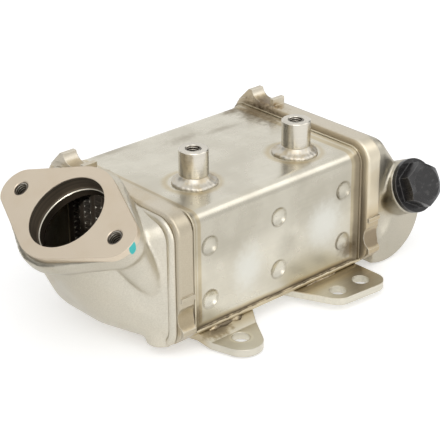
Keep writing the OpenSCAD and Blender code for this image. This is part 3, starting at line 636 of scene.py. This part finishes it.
def sooted_bore(f, c):
    """Counterbore and throat: sooty brown, with a bright lip on the shoulder, worn bare and partly a painted
    highlight.
    """
    pits, clouds, bumps = f.grain("Blasted grain")
    depth = f.depth()
    step = bpy.context.scene.cooler.castings.bore_depth
    # Bright lip on the shoulder, worn bare and partly a painted highlight
    below = f.fade(depth, step + 0.02 * MM, step + 0.1 * MM)
    above = f.fade(depth, step + 0.5 * MM, step + 0.4 * MM)
    bright = f.times(below, above, f.fade(clouds, 0.2, 0.45, 0.7, 1.0))
    throat = f.shade(c.soot, (0.5, 0.43, 0.36))
    wall = f.toned(f.fade(f.noise(depth, 900.0, 3.0, 0.6), 0.35, 0.65), c.soot, (2.6, 2.3, 1.95))
    wall = f.mix(f.fade(depth, step, step + 1 * MM), wall, throat)
    wall = f.mix(f.fade(clouds, 0.35, 0.65, 0.0, 0.4), wall, throat)
    f.feed(f.surface.inputs["Specular IOR Level"], 0.2)
    colour = f.mix(bright, wall, c.casting)
    return f.complete(colour, f.span(pits, 0.45, 0.65), f.times(bumps, 0.3), edge=0.2, metallic=bright)


def core_steel(f, c):
    """Tubes and fins: sooty, with bright dots where the fins' cut crests are worn bare, partly painted
    glints.
    """
    pits, clouds, bumps = f.grain("Blasted grain")
    low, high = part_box("gas_fin_9")
    half = (high.y - low.y) / 2
    pitch = high.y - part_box("gas_fin_8")[1].y
    end = high.x - MID_X
    cut_end = f.fade(f.apart(f.x, MID_X), end - 1.6 * MM, end - 0.4 * MM)
    across = f.maths("PINGPONG", f.y, pitch / 2)
    crests = f.times(f.fade(across, half - 0.8 * MM, half - 0.5 * MM), f.fade(across, half + 0.1 * MM, half))
    zigzag = f.plus(f.z, f.times(f.y, FIN_PITCH / 4 / half))
    dots = f.fade(f.maths("PINGPONG", zigzag, FIN_PITCH / 2), 0.6 * MM, 0.35 * MM)
    # Worn crests, partly painted glints: bright dots on the fins' cut ends
    rubbed_and_highlit = f.fade(f.noise(f.place, 500.0, 1.0), 0.32, 0.52, 0.2, 1.0)
    soot = f.toned(f.fade(clouds, 0.3, 0.7), c.soot, (1.4, 1.25, 1.1))
    colour = f.mix(f.times(cut_end, crests, dots, rubbed_and_highlit), soot, c.sheet)
    return f.complete(colour, f.span(pits, 0.4, 0.6), bumps, edge=0.1, metallic=0.0)


def thread_steel(f, c):
    """Tapped threads: oily, darkened further as painted shade, and lighter on their crests as a painted
    highlight.
    """
    stain = f.noise(f.place, 300.0, 3.0, 0.6)
    rise = f.add("ShaderNodeAttribute", attribute_name="rise").outputs["Fac"]
    # Painted shade: the thread is darkened as if in the hole's shade, and oily
    dark, light = f.shade(c.thread, (0.16, 0.14, 0.12)), f.shade(c.thread, (0.4, 0.37, 0.33))
    # Painted highlight: the crests are lighter
    colour = f.mix(f.fade(rise, 0.45, 0.8), f.mix(f.fade(stain, 0.35, 0.65), dark, light), c.turned)
    return f.complete(colour, f.span(stain, 0.25, 0.4), f.times(stain, 0.01 * MM), edge=0.1)


def turned_steel(f, c):
    """Turned bosses: rings of the tool along the axis, and heat at the foot."""
    tool = f.noise(f.stretched(f.place, (60, 60, 4200)), 1.0, 2.0)
    foot = f.fade(f.z, TOP_Z + 2 * MM, TOP_Z + 7 * MM, 0.6, 0.0)
    heat = f.times(foot, f.span(f.grain("Blasted grain")["Clouds"], 0.3, 1.0))
    metal = f.toned(f.fade(tool, 0.7, 0.3), c.turned, (0.88, 0.88, 0.88))
    return f.complete(f.heated(metal, heat), f.span(tool, 0.2, 0.3), f.times(tool, 0.004 * MM))


def pipe_steel(f, c):
    """Hose pipes on the back: drawn tube, straw where it was brazed to the casing."""
    _, clouds, bumps = f.grain("Rolled grain")
    braze = f.fade(f.y, -FRONT_Y + 1 * MM, -FRONT_Y + 9 * MM, 0.9, 0.0)
    colour = f.heated(c.turned, f.times(braze, f.span(clouds, 0.4, 1.0)))
    return f.complete(colour, f.span(clouds, 0.18, 0.4), f.times(bumps, 0.4))


def weld_metal(f, c):
    """Welds round the bosses: bright, straw in patches."""
    patches = f.noise(f.place, 190.0, 3.0, 0.6)
    colour = f.heated(f.shade(c.turned, (0.88, 0.88, 0.88)), f.fade(patches, 0.4, 0.72, 0.05, 0.5))
    height = f.times(f.grain("Blasted grain")["Height"], 0.4)
    return f.complete(colour, f.span(patches, 0.34, 0.5), height, edge=0.2)


def seam_weld(f, c):
    """Browned weld along the seam and on the feet."""
    patches = f.noise(f.place, 120.0, 4.0, 0.6)
    metal = f.toned(f.fade(patches, 0.4, 0.6), c.collar, (0.62, 0.62, 0.62))
    colour = f.heated(metal, f.fade(patches, 0.35, 0.65, 0.6, 1.0))
    return f.complete(colour, f.span(patches, 0.35, 0.5), f.grain("Blasted grain")["Height"], edge=0.2)


def left_foot_sheet(f, c):
    """Left foot: grey sheet, brown near the weld, with a lighter ring round its hole, worn and partly a
    painted highlight.
    """
    _, clouds, bumps = f.grain("Rolled grain")
    near = f.fade(f.y, FRONT_Y - 9 * MM, FRONT_Y - 1 * MM, 0.0, 0.6)
    heat = f.times(f.most(near, f.spot(*FOOT_HEAT)), f.span(clouds, 0.4, 1.1))
    metal = f.toned(f.fade(clouds, 0.35, 0.65), f.shade(c.sheet, (0.92, 0.92, 0.93)), (0.84, 0.84, 0.83))
    tinted = f.toned(f.times(f.spot(*FOOT_BURN), 0.6), f.heated(metal, heat), c.brown)
    # Worn ring, partly a painted highlight: lighter round the hole
    rubbed_and_highlit = f.spot(Vector(MOUNTS["left_foot_hole"]["pos_m"]) / MM, (6.6, 6.6, 9), 0.15, 0.1)
    return f.complete(f.mix(rubbed_and_highlit, tinted, c.sheet), f.span(clouds, 0.24, 0.42), bumps, edge=0.6)


def right_foot_sheet(f, c):
    """Right foot: dull brown-grey plate, darker towards the casing, with its cut edge bright."""
    streaks, clouds, bumps = f.grain("Rolled grain")
    near = f.fade(f.y, FRONT_Y - 13 * MM, FRONT_Y, 0.14, 0.85)
    face = f.fade(f.z, SHEET_LOW.z - 0.7 * MM, SHEET_LOW.z - 0.25 * MM)
    heat = f.times(f.plus(near, f.fade(clouds, 0.3, 0.7, -0.1, 0.1)), face)
    metal = f.toned(f.fade(streaks, 0.7, 0.3), c.sheet, (0.9, 0.9, 0.9))
    return f.complete(f.heated(metal, heat), f.span(clouds, 0.28, 0.46), bumps, edge=0.5)


def black_moulding(f, c):
    """Plug: glossy black moulding with dusty scuffs, and worn edges that are partly painted highlights."""
    scuffs = f.noise(f.stretched(f.place, (260, 900, 260)), 1.0, 4.0, 0.65)
    dust = f.noise(f.place, 150.0, 4.0, 0.6)
    worn = f.times(f.fade(scuffs, 0.52, 0.7), f.fade(dust, 0.4, 0.65))
    # Worn edges, partly painted highlights: lighter along the plug's edges
    edges = f.times(f.worn_and_highlit_edge(0.7), f.fade(dust, 0.3, 0.6, 0.3, 1.0))
    colour = f.mix(f.most(f.times(worn, 0.5), edges), c.plug, DUST_AND_HIGHLIGHT_COLOUR)
    roughness = f.plus(f.span(dust, 0.2, 0.36), f.times(worn, 0.25))
    height = f.times(f.noise(f.place, 900.0, 2.0), 0.02 * MM)
    return f.complete(colour, roughness, height, edge=0.5, metallic=0.0)


def linked(name, data):
    """A new object in the scene."""
    thing = bpy.data.objects.new(name, data)
    bpy.context.scene.collection.objects.link(thing)
    return thing


def paint_node(name, builder):
    """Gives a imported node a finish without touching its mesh."""
    for slot in NODES[name].material_slots:
        slot.link = "OBJECT"
        slot.material = finish_of(builder)


def show_piece(mesh, builder):
    """Shows a mesh as a piece of the cooler, under the mesh's name."""
    mesh.materials.clear()
    mesh.materials.append(finish_of(builder))
    mesh.shade_smooth()
    piece = linked(mesh.name, mesh)
    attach(piece, "root")
    return piece


def boss_point(side, z):
    """Point on the axis of a top boss."""
    return Vector((*MOUNTS["top_thread_" + side]["pos_m"][:2], z))


def looking_along(axis, place):
    """Matrix whose Z axis points along axis, at a place."""
    return Matrix.Translation(place) @ Vector(axis).to_track_quat("Z", "Y").to_matrix().to_4x4()


def coordinates(mesh):
    points = np.empty(len(mesh.vertices) * 3)
    mesh.vertices.foreach_get("co", points)
    return points.reshape(-1, 3)


def set_coordinates(mesh, points):
    mesh.vertices.foreach_set("co", points.ravel())
    mesh.update()


def opened(mesh):
    """A mesh opened for changes, with its split vertices joined."""
    work = bmesh.new()
    work.from_mesh(mesh)
    bmesh.ops.remove_doubles(work, verts=work.verts, dist=JOIN_DISTANCE)
    return work


def welded_copy(node, name):
    """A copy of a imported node's mesh with its split vertices joined."""
    mesh = NODES[node].data.copy()
    mesh.name = name
    work = opened(mesh)
    work.to_mesh(mesh)
    work.free()
    kept_normals = mesh.attributes.get("custom_normal")
    if kept_normals:
        mesh.attributes.remove(kept_normals)
    return mesh


def remeshed(node, name, voxel):
    """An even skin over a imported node."""
    source = linked(name + "_source", welded_copy(node, name + "_source"))
    grid = source.modifiers.new("Skin", "REMESH")
    grid.mode = "VOXEL"
    grid.voxel_size = voxel
    graph = bpy.context.evaluated_depsgraph_get()
    mesh = bpy.data.meshes.new_from_object(source.evaluated_get(graph))
    mesh.name = name
    old = source.data
    bpy.data.objects.remove(source)
    bpy.data.meshes.remove(old)
    return mesh


def relax(mesh, passes, face_x, side):
    """Rounds a skin evenly, with swelling passes so that it keeps its size; it stays put beside a collar."""
    points = coordinates(mesh)
    before = points.copy()
    edges = np.empty(len(mesh.edges) * 2, np.int32)
    mesh.edges.foreach_get("vertices", edges)
    a, b = edges.reshape(-1, 2).T
    count = len(points)
    degree = np.bincount(a, minlength=count) + np.bincount(b, minlength=count)
    for step in range(passes):
        mean = np.stack([np.bincount(a, points[b, k], count) + np.bincount(b, points[a, k], count)
                         for k in range(3)], 1) / degree[:, None]
        points += (SHRINK if step % 2 == 0 else SWELL) * (mean - points)
    held = np.clip(1.2 - (points[:, :1] - face_x) * side / HELD_WIDTH, 0, 1)
    set_coordinates(mesh, before * held + points * (1 - held))


def push_out(points, centre, axis, radius, reach, depth):
    """Moves the skin of a bore back behind its liner: points nearer the axis than reach, down to a depth."""
    offset = points - np.array(centre)
    along = offset @ np.array(axis)
    radial = offset - along[:, None] * np.array(axis)
    distance = np.linalg.norm(radial, axis=1)
    inside = (distance < reach) & (along > -depth) & (along < 2 * MM)
    grow = np.maximum(distance, radius) / np.maximum(distance, 1e-9)
    points[inside] += (radial * (grow - 1)[:, None])[inside]


def cut_off(mesh, point, normal):
    """Cuts away what lies in front of a plane and closes the cut."""
    work = opened(mesh)
    everything = work.verts[:] + work.edges[:] + work.faces[:]
    cut = bmesh.ops.bisect_plane(work, geom=everything, dist=1e-7, plane_co=point, plane_no=normal,
                                 clear_outer=True)["geom_cut"]
    rim = [e for e in cut if isinstance(e, bmesh.types.BMEdge)]
    bmesh.ops.triangle_fill(work, edges=rim, use_beauty=True)
    bmesh.ops.recalc_face_normals(work, faces=work.faces)
    work.to_mesh(mesh)
    work.free()


def ring_mesh(name, rings, looped=True):
    """Joins rings of points into a closed skin, either in a loop or as a tube with flat ends."""
    work = bmesh.new()
    loops = [[work.verts.new(point) for point in ring] for ring in rings]
    followers = loops[1:] + loops[:1] if looped else loops[1:]
    for ring, after in zip(loops, followers):
        for k in range(len(ring)):
            m = (k + 1) % len(ring)
            work.faces.new((ring[k], after[k], after[m], ring[m]))
    if not looped:
        work.faces.new(loops[0])
        work.faces.new(loops[-1])
    bmesh.ops.recalc_face_normals(work, faces=work.faces)
    mesh = bpy.data.meshes.new(name)
    work.to_mesh(mesh)
    work.free()
    return mesh


def lathe(name, profile, steps, place, ripple=None):
    """Turns a closed profile of (radius, along) about the local Z axis; ripple may move each point."""
    rings = []
    for i in range(steps):
        turn = 2 * math.pi * i / steps
        section = [ripple(turn, *point) if ripple else point for point in profile]
        rings.append([place @ Vector((radius * math.cos(turn), radius * math.sin(turn), along))
                      for radius, along in section])
    return ring_mesh(name, rings)


def bore_profile(sizes):
    """Section of the bore's liner, as radius and height: counterbore, rounded shoulder and throat."""
    back = sizes.bore_radius + LINER_WALL
    wall = sizes.bore_radius - 0.02 * MM
    top, end = -0.5 * MM, 0.5 * MM - sizes.throat_depth
    shoulder = -sizes.bore_depth
    corner, lip = 0.4 * MM, 0.45 * MM
    return [(back, top), (wall, top), (wall, shoulder + corner), (sizes.bore_radius - corner, shoulder),
            (sizes.throat_radius + lip, shoulder), (sizes.throat_radius, shoulder - lip),
            (sizes.throat_radius, end), (back, end)]


def rounded_frame(low, high, corner, steps=12):
    """Points of a rounded rectangle across X, each with its outward direction."""
    path = []
    for k, (right, up) in enumerate(((1, 1), (-1, 1), (-1, -1), (1, -1))):
        y = (high.y if right > 0 else low.y) - right * corner
        z = (high.z if up > 0 else low.z) - up * corner
        for t in np.linspace(k * math.pi / 2, (k + 1) * math.pi / 2, steps):
            out = Vector((0, math.cos(t), math.sin(t)))
            path.append((Vector((high.x, y, z)) + out * corner, out))
    return path


def threaded_sleeve(name, mouth, axis, length, sizes):
    """Thin sleeve with a thread cut inside, below a hole's mouth; its attribute rise is 1 on the crest."""
    rows = int(length / sizes.pitch * THREAD_ROWS)
    outer = sizes.root + sizes.wall
    depths = [THREAD_START + length * k / rows for k in range(rows + 1)]
    profile = [(outer, -depths[0]), *((sizes.root, -depth) for depth in depths), (outer, -depths[-1])]
    rises = []

    def thread(turn, radius, along):
        phase = (turn / (2 * math.pi) - along / sizes.pitch) % 1
        rises.append(1 - abs(2 * phase - 1) if radius < outer else 0.0)
        return radius + (sizes.crest - sizes.root) * rises[-1], along

    mesh = lathe(name, profile, THREAD_STEPS, looking_along(axis, mouth), thread)
    mesh.attributes.new("rise", "FLOAT", "POINT").data.foreach_set("value", rises)
    return mesh


def weld_bead(name, points, radius, seed):
    """Lumpy bead of weld along a path, closed at both ends."""
    random = np.random.default_rng(seed)
    points = np.array(points)
    count = len(points)
    along = np.linspace(0, 1, count)
    swell = 1 + BEAD_SWELL * np.sin(along * count * BEAD_TURN) + random.normal(0, BEAD_RANDOM, count)
    swell *= np.clip(np.minimum(along, 1 - along) * count / 3, BEAD_END, 1)
    shift = random.normal(0, BEAD_SHIFT, (count, 2)) * radius
    rings = []
    for i, point in enumerate(points):
        ahead = Vector(points[min(i + 1, count - 1)] - points[max(i - 1, 0)]).normalized()
        side = ahead.cross(Vector((0, 0, 1))).normalized()
        up = side.cross(ahead)
        centre = Vector(point) + side * shift[i, 0] + up * shift[i, 1]
        rings.append([centre + (side * math.cos(t) + up * math.sin(t)) * radius * swell[i]
                      for t in np.linspace(0, 2 * math.pi, BEAD_SIDES, endpoint=False)])
    return ring_mesh(name, rings, looped=False)


class COOLER_OT_castings(bpy.types.Operator):
    """Make the smooth inlet hood, its machined pad and bore, and the outlet bowl"""

    bl_idname = "cooler.castings"
    bl_label = "Castings"

    def execute(self, context):
        sizes = context.scene.cooler.castings
        self.hood(sizes)

        pad = welded_copy("inlet_tank", "flange_pad")
        cut_off(pad, -FACE_OUT * sizes.pad_depth, -FACE_OUT)
        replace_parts(show_piece(pad, machined_face), "inlet_tank")
        pad.set_sharp_from_angle(angle=SHARP_ANGLE)

        bore = lathe("gas_bore", bore_profile(sizes), BORE_STEPS, looking_along(FACE_OUT, FACE_CENTRE))
        show_piece(bore, sooted_bore)
        bore.set_sharp_from_angle(angle=SHARP_ANGLE)

        bowl = remeshed("outlet_tank", "outlet_casting", sizes.voxel)
        relax(bowl, sizes.passes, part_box("outlet_header")[1].x, 1)
        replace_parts(show_piece(bowl, cast_skin), "outlet_tank")
        return {"FINISHED"}

    def hood(self, sizes):
        """Smooth hood, cut off below the pad and set back behind the liners of its bores."""
        hood = remeshed("inlet_tank", "inlet_casting", sizes.voxel)
        relax(hood, sizes.passes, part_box("inlet_header")[0].x, -1)
        points = coordinates(hood)
        for radius, reach, depth in ((sizes.bore_radius, 1.5 * MM, sizes.bore_depth + 0.4 * MM),
                                     (sizes.throat_radius, 1.4 * MM, sizes.throat_depth - 1 * MM)):
            push_out(points, FACE_CENTRE, FACE_OUT, radius + LINER_GAP, radius + reach, depth)
        for side in (-1, 1):
            push_out(points, (0, BOLT_REACH * side, 0), FACE_OUT, *HOLE_SKIN)
        set_coordinates(hood, points)
        cut_off(hood, -FACE_OUT * (sizes.pad_depth - PAD_OVERLAP), FACE_OUT)
        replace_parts(show_piece(hood, cast_skin), "inlet_tank")


class COOLER_OT_threads(bpy.types.Operator):
    """Cut the threads of the flange's and the bosses' tapped holes"""

    bl_idname = "cooler.threads"
    bl_label = "Threads"

    def execute(self, context):
        sizes = context.scene.cooler.threads
        for side, y in (("front", -BOLT_REACH), ("back", BOLT_REACH)):
            mesh = threaded_sleeve("flange_thread_" + side, (0, y, 0), FACE_OUT, sizes.flange_length, sizes)
            show_piece(mesh, thread_steel)
        for side in ("left", "right"):
            mouth = boss_point(side, BOSS_TOP_Z)
            mesh = threaded_sleeve("boss_thread_" + side, mouth, (0, 0, 1), sizes.boss_length, sizes)
            show_piece(mesh, thread_steel)
        return {"FINISHED"}


class COOLER_OT_welds(bpy.types.Operator):
    """Lay the welds round the bosses, round the hood's rim, along the floor's seam and on the feet"""

    bl_idname = "cooler.welds"
    bl_label = "Welds"

    def execute(self, context):
        sizes = context.scene.cooler.welds
        for side, seed in (("left", 3), ("right", 8)):
            self.boss(sizes, side, np.random.default_rng(seed))
        self.rim(sizes)
        for side, y in (("front", FRONT_Y), ("back", -FRONT_Y)):
            path = [(x, y + math.copysign(SEAM_OUT, y), FLOOR_TOP_Z + SEAM_OUT)
                    for x in np.arange(SHEET_LOW.x + SEAM_MARGIN, SHEET_HIGH.x - SEAM_MARGIN, SEAM_STEP)]
            mesh = weld_bead("seam_weld_" + side, path, sizes.seam_radius, 11)
            show_piece(mesh, seam_weld)
        for side, seed, radius in (("left", 21, sizes.foot_radius), ("right", 22, 0.6 * sizes.foot_radius)):
            low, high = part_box(side + "_foot")
            start, end = (low.x + share * (high.x - low.x) for share in FOOT_WELD_ENDS)
            path = [(x, SHEET_LOW.y + FOOT_WELD_IN, SHEET_LOW.z - FOOT_WELD_IN)
                    for x in np.arange(start, end, FOOT_WELD_STEP)]
            mesh = weld_bead(side + "_foot_weld", path, radius, seed)
            show_piece(mesh, seam_weld)
        return {"FINISHED"}

    def boss(self, sizes, side, random):
        """Flared weld at the foot of a top boss."""
        waves = [(k, random.normal(0, WELD_SWELL / k ** 0.5), random.uniform(0, 2 * math.pi))
                 for k in WELD_WAVES]

        def ripple(turn, radius, along):
            swell = sum(size * math.cos(k * turn + shift) for k, size, shift in waves) * MM
            beads = WELD_BEAD_HEIGHT * math.cos(WELD_BEADS * turn + 2 * math.sin(3 * turn))
            outward = (radius - sizes.boss_radius) / sizes.boss_width
            return radius + (swell + beads) * outward, along + beads * outward

        profile = [(sizes.boss_radius + sizes.boss_width * u, sizes.boss_height * v) for u, v in WELD_SECTION]
        place = Matrix.Translation(boss_point(side, TOP_Z))
        mesh = lathe("boss_weld_" + side, profile, WELD_STEPS, place, ripple)
        show_piece(mesh, weld_metal)

    def rim(self, sizes):
        """Cove of weld where the inlet hood meets its collar."""
        face_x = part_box("inlet_header")[0].x
        low, high = (Vector((face_x, *corner)) for corner in HOOD_RIM)
        inside = -0.8 * MM
        cove = [(inside + sizes.rim_width * math.cos(t), -sizes.rim_length * math.sin(t))
                for t in np.linspace(0, math.pi / 2, COVE_STEPS)]
        section = cove + [(2 * inside, -sizes.rim_length), (2 * inside, 0)]
        rings = [[point + out * u + Vector((v, 0, 0)) for u, v in section]
                 for point, out in rounded_frame(low, high, HOOD_RIM_RADIUS)]
        show_piece(ring_mesh("rim_weld", rings), cast_skin)


class COOLER_OT_sheets(bpy.types.Operator):
    """Finish the casing, its floor and the feet"""

    bl_idname = "cooler.sheets"
    bl_label = "Casing and feet"

    def execute(self, context):
        paint_node("casing_shell", casing_sheet)
        paint_node("casing_floor", floor_sheet)
        paint_node("left_foot", left_foot_sheet)
        paint_node("right_foot", right_foot_sheet)
        return {"FINISHED"}


class COOLER_OT_headers(bpy.types.Operator):
    """Finish the two brazed headers"""

    bl_idname = "cooler.headers"
    bl_label = "Headers"

    def execute(self, context):
        paint_node("inlet_header", brazed_collar)
        paint_node("outlet_header", brazed_collar)
        return {"FINISHED"}


class COOLER_OT_core(bpy.types.Operator):
    """Finish the gas tubes and their fins"""

    bl_idname = "cooler.core"
    bl_label = "Core"

    def execute(self, context):
        for name in NODES:
            if name.startswith("gas_"):
                paint_node(name, core_steel)
        return {"FINISHED"}


class COOLER_OT_fittings(bpy.types.Operator):
    """Finish the bosses, the hose pipes and the plug"""

    bl_idname = "cooler.fittings"
    bl_label = "Bosses, pipes and plug"

    def execute(self, context):
        for side in ("left", "right"):
            paint_node("top_boss_" + side, turned_steel)
        for side in ("inlet", "outlet"):
            paint_node(f"coolant_{side}_pipe", pipe_steel)
        paint_node("transport_plug", black_moulding)
        return {"FINISHED"}


class COOLER_OT_stage(bpy.types.Operator):
    """Set up the floor, the light and the camera"""

    bl_idname = "cooler.stage"
    bl_label = "Stage"

    def execute(self, context):
        settings = context.scene.cooler.stage
        context.scene.view_settings.view_transform = "Standard"
        self.room(context.scene, settings)
        key_place = looking_along(KEY_FROM, (0, 0, 1))
        self.lamp("key_light", "SUN", key_place, energy=settings.sun, angle=KEY_ANGLE)
        for name, turn, rise, width, height, brightness in LAMPS:
            self.lamp(name, "AREA", self.studio_place(settings, turn, rise), shape="RECTANGLE", size=width,
                      size_y=height, energy=brightness * math.pi * width * height)
        # A narrow spot shines through the gas inlet's bore onto the core's back half
        self.lamp("bore_light", "SPOT", looking_along(BORE_LIGHT_FROM, BORE_LIGHT_FROM * BORE_LIGHT_DISTANCE),
                  energy=12.0, spot_size=math.radians(2.2), spot_blend=0.4, shadow_soft_size=0.003)
        for name, turn, rise, *look in CARDS:
            self.card(name, self.studio_place(settings, turn, rise), *look)
        self.floor()
        self.camera(context.scene, settings)
        return {"FINISHED"}

    def seen_ray(self, n):
        """1 for rays that show the background itself or its reflection."""
        path = n.add("ShaderNodeLightPath").outputs
        return n.most(path["Is Camera Ray"], path["Is Glossy Ray"], path["Is Transmission Ray"])

    def room(self, scene, settings):
        """White room whose light on matt surfaces is weaker than its look."""
        scene.world = bpy.data.worlds.new("Studio")
        scene.world.use_nodes = True
        n = NodeSketch(scene.world.node_tree)
        background = n.tree.nodes["Background"]
        n.feed(background.inputs["Color"], (1.0, 1.0, 1.0))
        n.feed(background.inputs["Strength"], n.span(self.seen_ray(n), settings.fill, 1.0))

    def studio_place(self, settings, turn, rise):
        """Matrix of a studio piece that faces the cooler."""
        bearing = settings.azimuth + math.pi - math.radians(turn)
        level = math.cos(math.radians(rise))
        away = Vector((level * math.sin(bearing), level * math.cos(bearing), math.sin(math.radians(rise))))
        return looking_along(away, (CAD_BOX[0] + CAD_BOX[1]) / 2 + away * STUDIO_RADIUS)

    def lamp(self, name, kind, place, **settings):
        light = bpy.data.lights.new(name, kind)
        for key, value in settings.items():
            setattr(light, key, value)
        linked(name, light).matrix_world = place

    def plate(self, name, place, width, height):
        """A flat rectangle and the sketch of its new material."""
        mesh = bpy.data.meshes.new(name)
        points = [place @ Vector((x * width / 2, y * height / 2, 0)) for x, y in CORNERS]
        mesh.from_pydata(points, [], [(0, 1, 2, 3)])
        material = bpy.data.materials.new("Studio " + name)
        material.use_nodes = True
        mesh.materials.append(material)
        return linked(name, mesh), NodeSketch(material.node_tree)

    def card(self, name, place, width, height, brightness):
        """Grey card that only reflections show."""
        card, n = self.plate(name, place, width, height)
        card.visible_camera = card.visible_diffuse = card.visible_shadow = card.visible_transmission = False
        glow = n.add("ShaderNodeEmission", {"Strength": brightness}).outputs[0]
        n.feed(n.tree.nodes["Material Output"].inputs["Surface"], glow)

    def floor(self):
        """White floor just below the cooler."""
        place = Matrix.Translation((0, 0, CAD_BOX[0].z - FLOOR_GAP))
        floor, n = self.plate("floor", place, FLOOR_SIZE, FLOOR_SIZE)
        look = {"Base Color": (0.8, 0.8, 0.8), "Roughness": 0.9, "Specular IOR Level": 0.1,
                "Emission Color": (1.0, 1.0, 1.0), "Emission Strength": n.times(self.seen_ray(n), FLOOR_GLOW)}
        for name, value in look.items():
            n.feed(n.tree.nodes["Principled BSDF"].inputs[name], value)

    def camera(self, scene, settings):
        """The photo's camera."""
        a, e, roll = settings.azimuth, settings.elevation, settings.roll
        ahead = Vector((math.cos(e) * math.sin(a), math.cos(e) * math.cos(a), -math.sin(e)))
        level = Vector((math.cos(a), -math.sin(a), 0))
        upright = level.cross(ahead)
        right = level * math.cos(roll) + upright * math.sin(roll)
        up = upright * math.cos(roll) - level * math.sin(roll)
        lens = bpy.data.cameras.new("photo_camera")
        lens.lens = settings.lens
        lens.sensor_width = SENSOR_WIDTH
        scene.camera = linked("photo_camera", lens)
        turn = Matrix((right, up, -ahead)).transposed().to_4x4()
        scene.camera.matrix_world = Matrix.Translation(settings.camera_place) @ turn


class COOLER_PT_build(bpy.types.Panel):
    """Lists the steps that dress the cooler"""

    bl_idname = "COOLER_PT_build"
    bl_label = "EGR cooler"
    bl_space_type = "VIEW_3D"
    bl_region_type = "UI"
    bl_category = "Cooler"

    def draw(self, context):
        for step in STEPS:
            self.layout.operator(step.bl_idname)
        settings = context.scene.cooler
        for group in (settings.castings, settings.threads, settings.welds, settings.colours, settings.stage):
            box = self.layout.box()
            for name in group.__annotations__:
                box.prop(group, name)


STEPS = (COOLER_OT_castings, COOLER_OT_threads, COOLER_OT_welds, COOLER_OT_sheets, COOLER_OT_headers,
         COOLER_OT_core, COOLER_OT_fittings, COOLER_OT_stage)
CLASSES = (CastingSizes, ThreadSizes, WeldSizes, FinishColours, StageSettings, CoolerSettings, *STEPS,
           COOLER_PT_build)


def register():
    for cls in CLASSES:
        bpy.utils.register_class(cls)
    bpy.types.Scene.cooler = PointerProperty(type=CoolerSettings)


def unregister():
    del bpy.types.Scene.cooler
    for cls in reversed(CLASSES):
        bpy.utils.unregister_class(cls)


def main():
    register()
    bpy.ops.cooler.castings()
    bpy.ops.cooler.threads()
    bpy.ops.cooler.welds()
    bpy.ops.cooler.sheets()
    bpy.ops.cooler.headers()
    bpy.ops.cooler.core()
    bpy.ops.cooler.fittings()
    bpy.ops.cooler.stage()


if __name__ == "__main__":
    main()
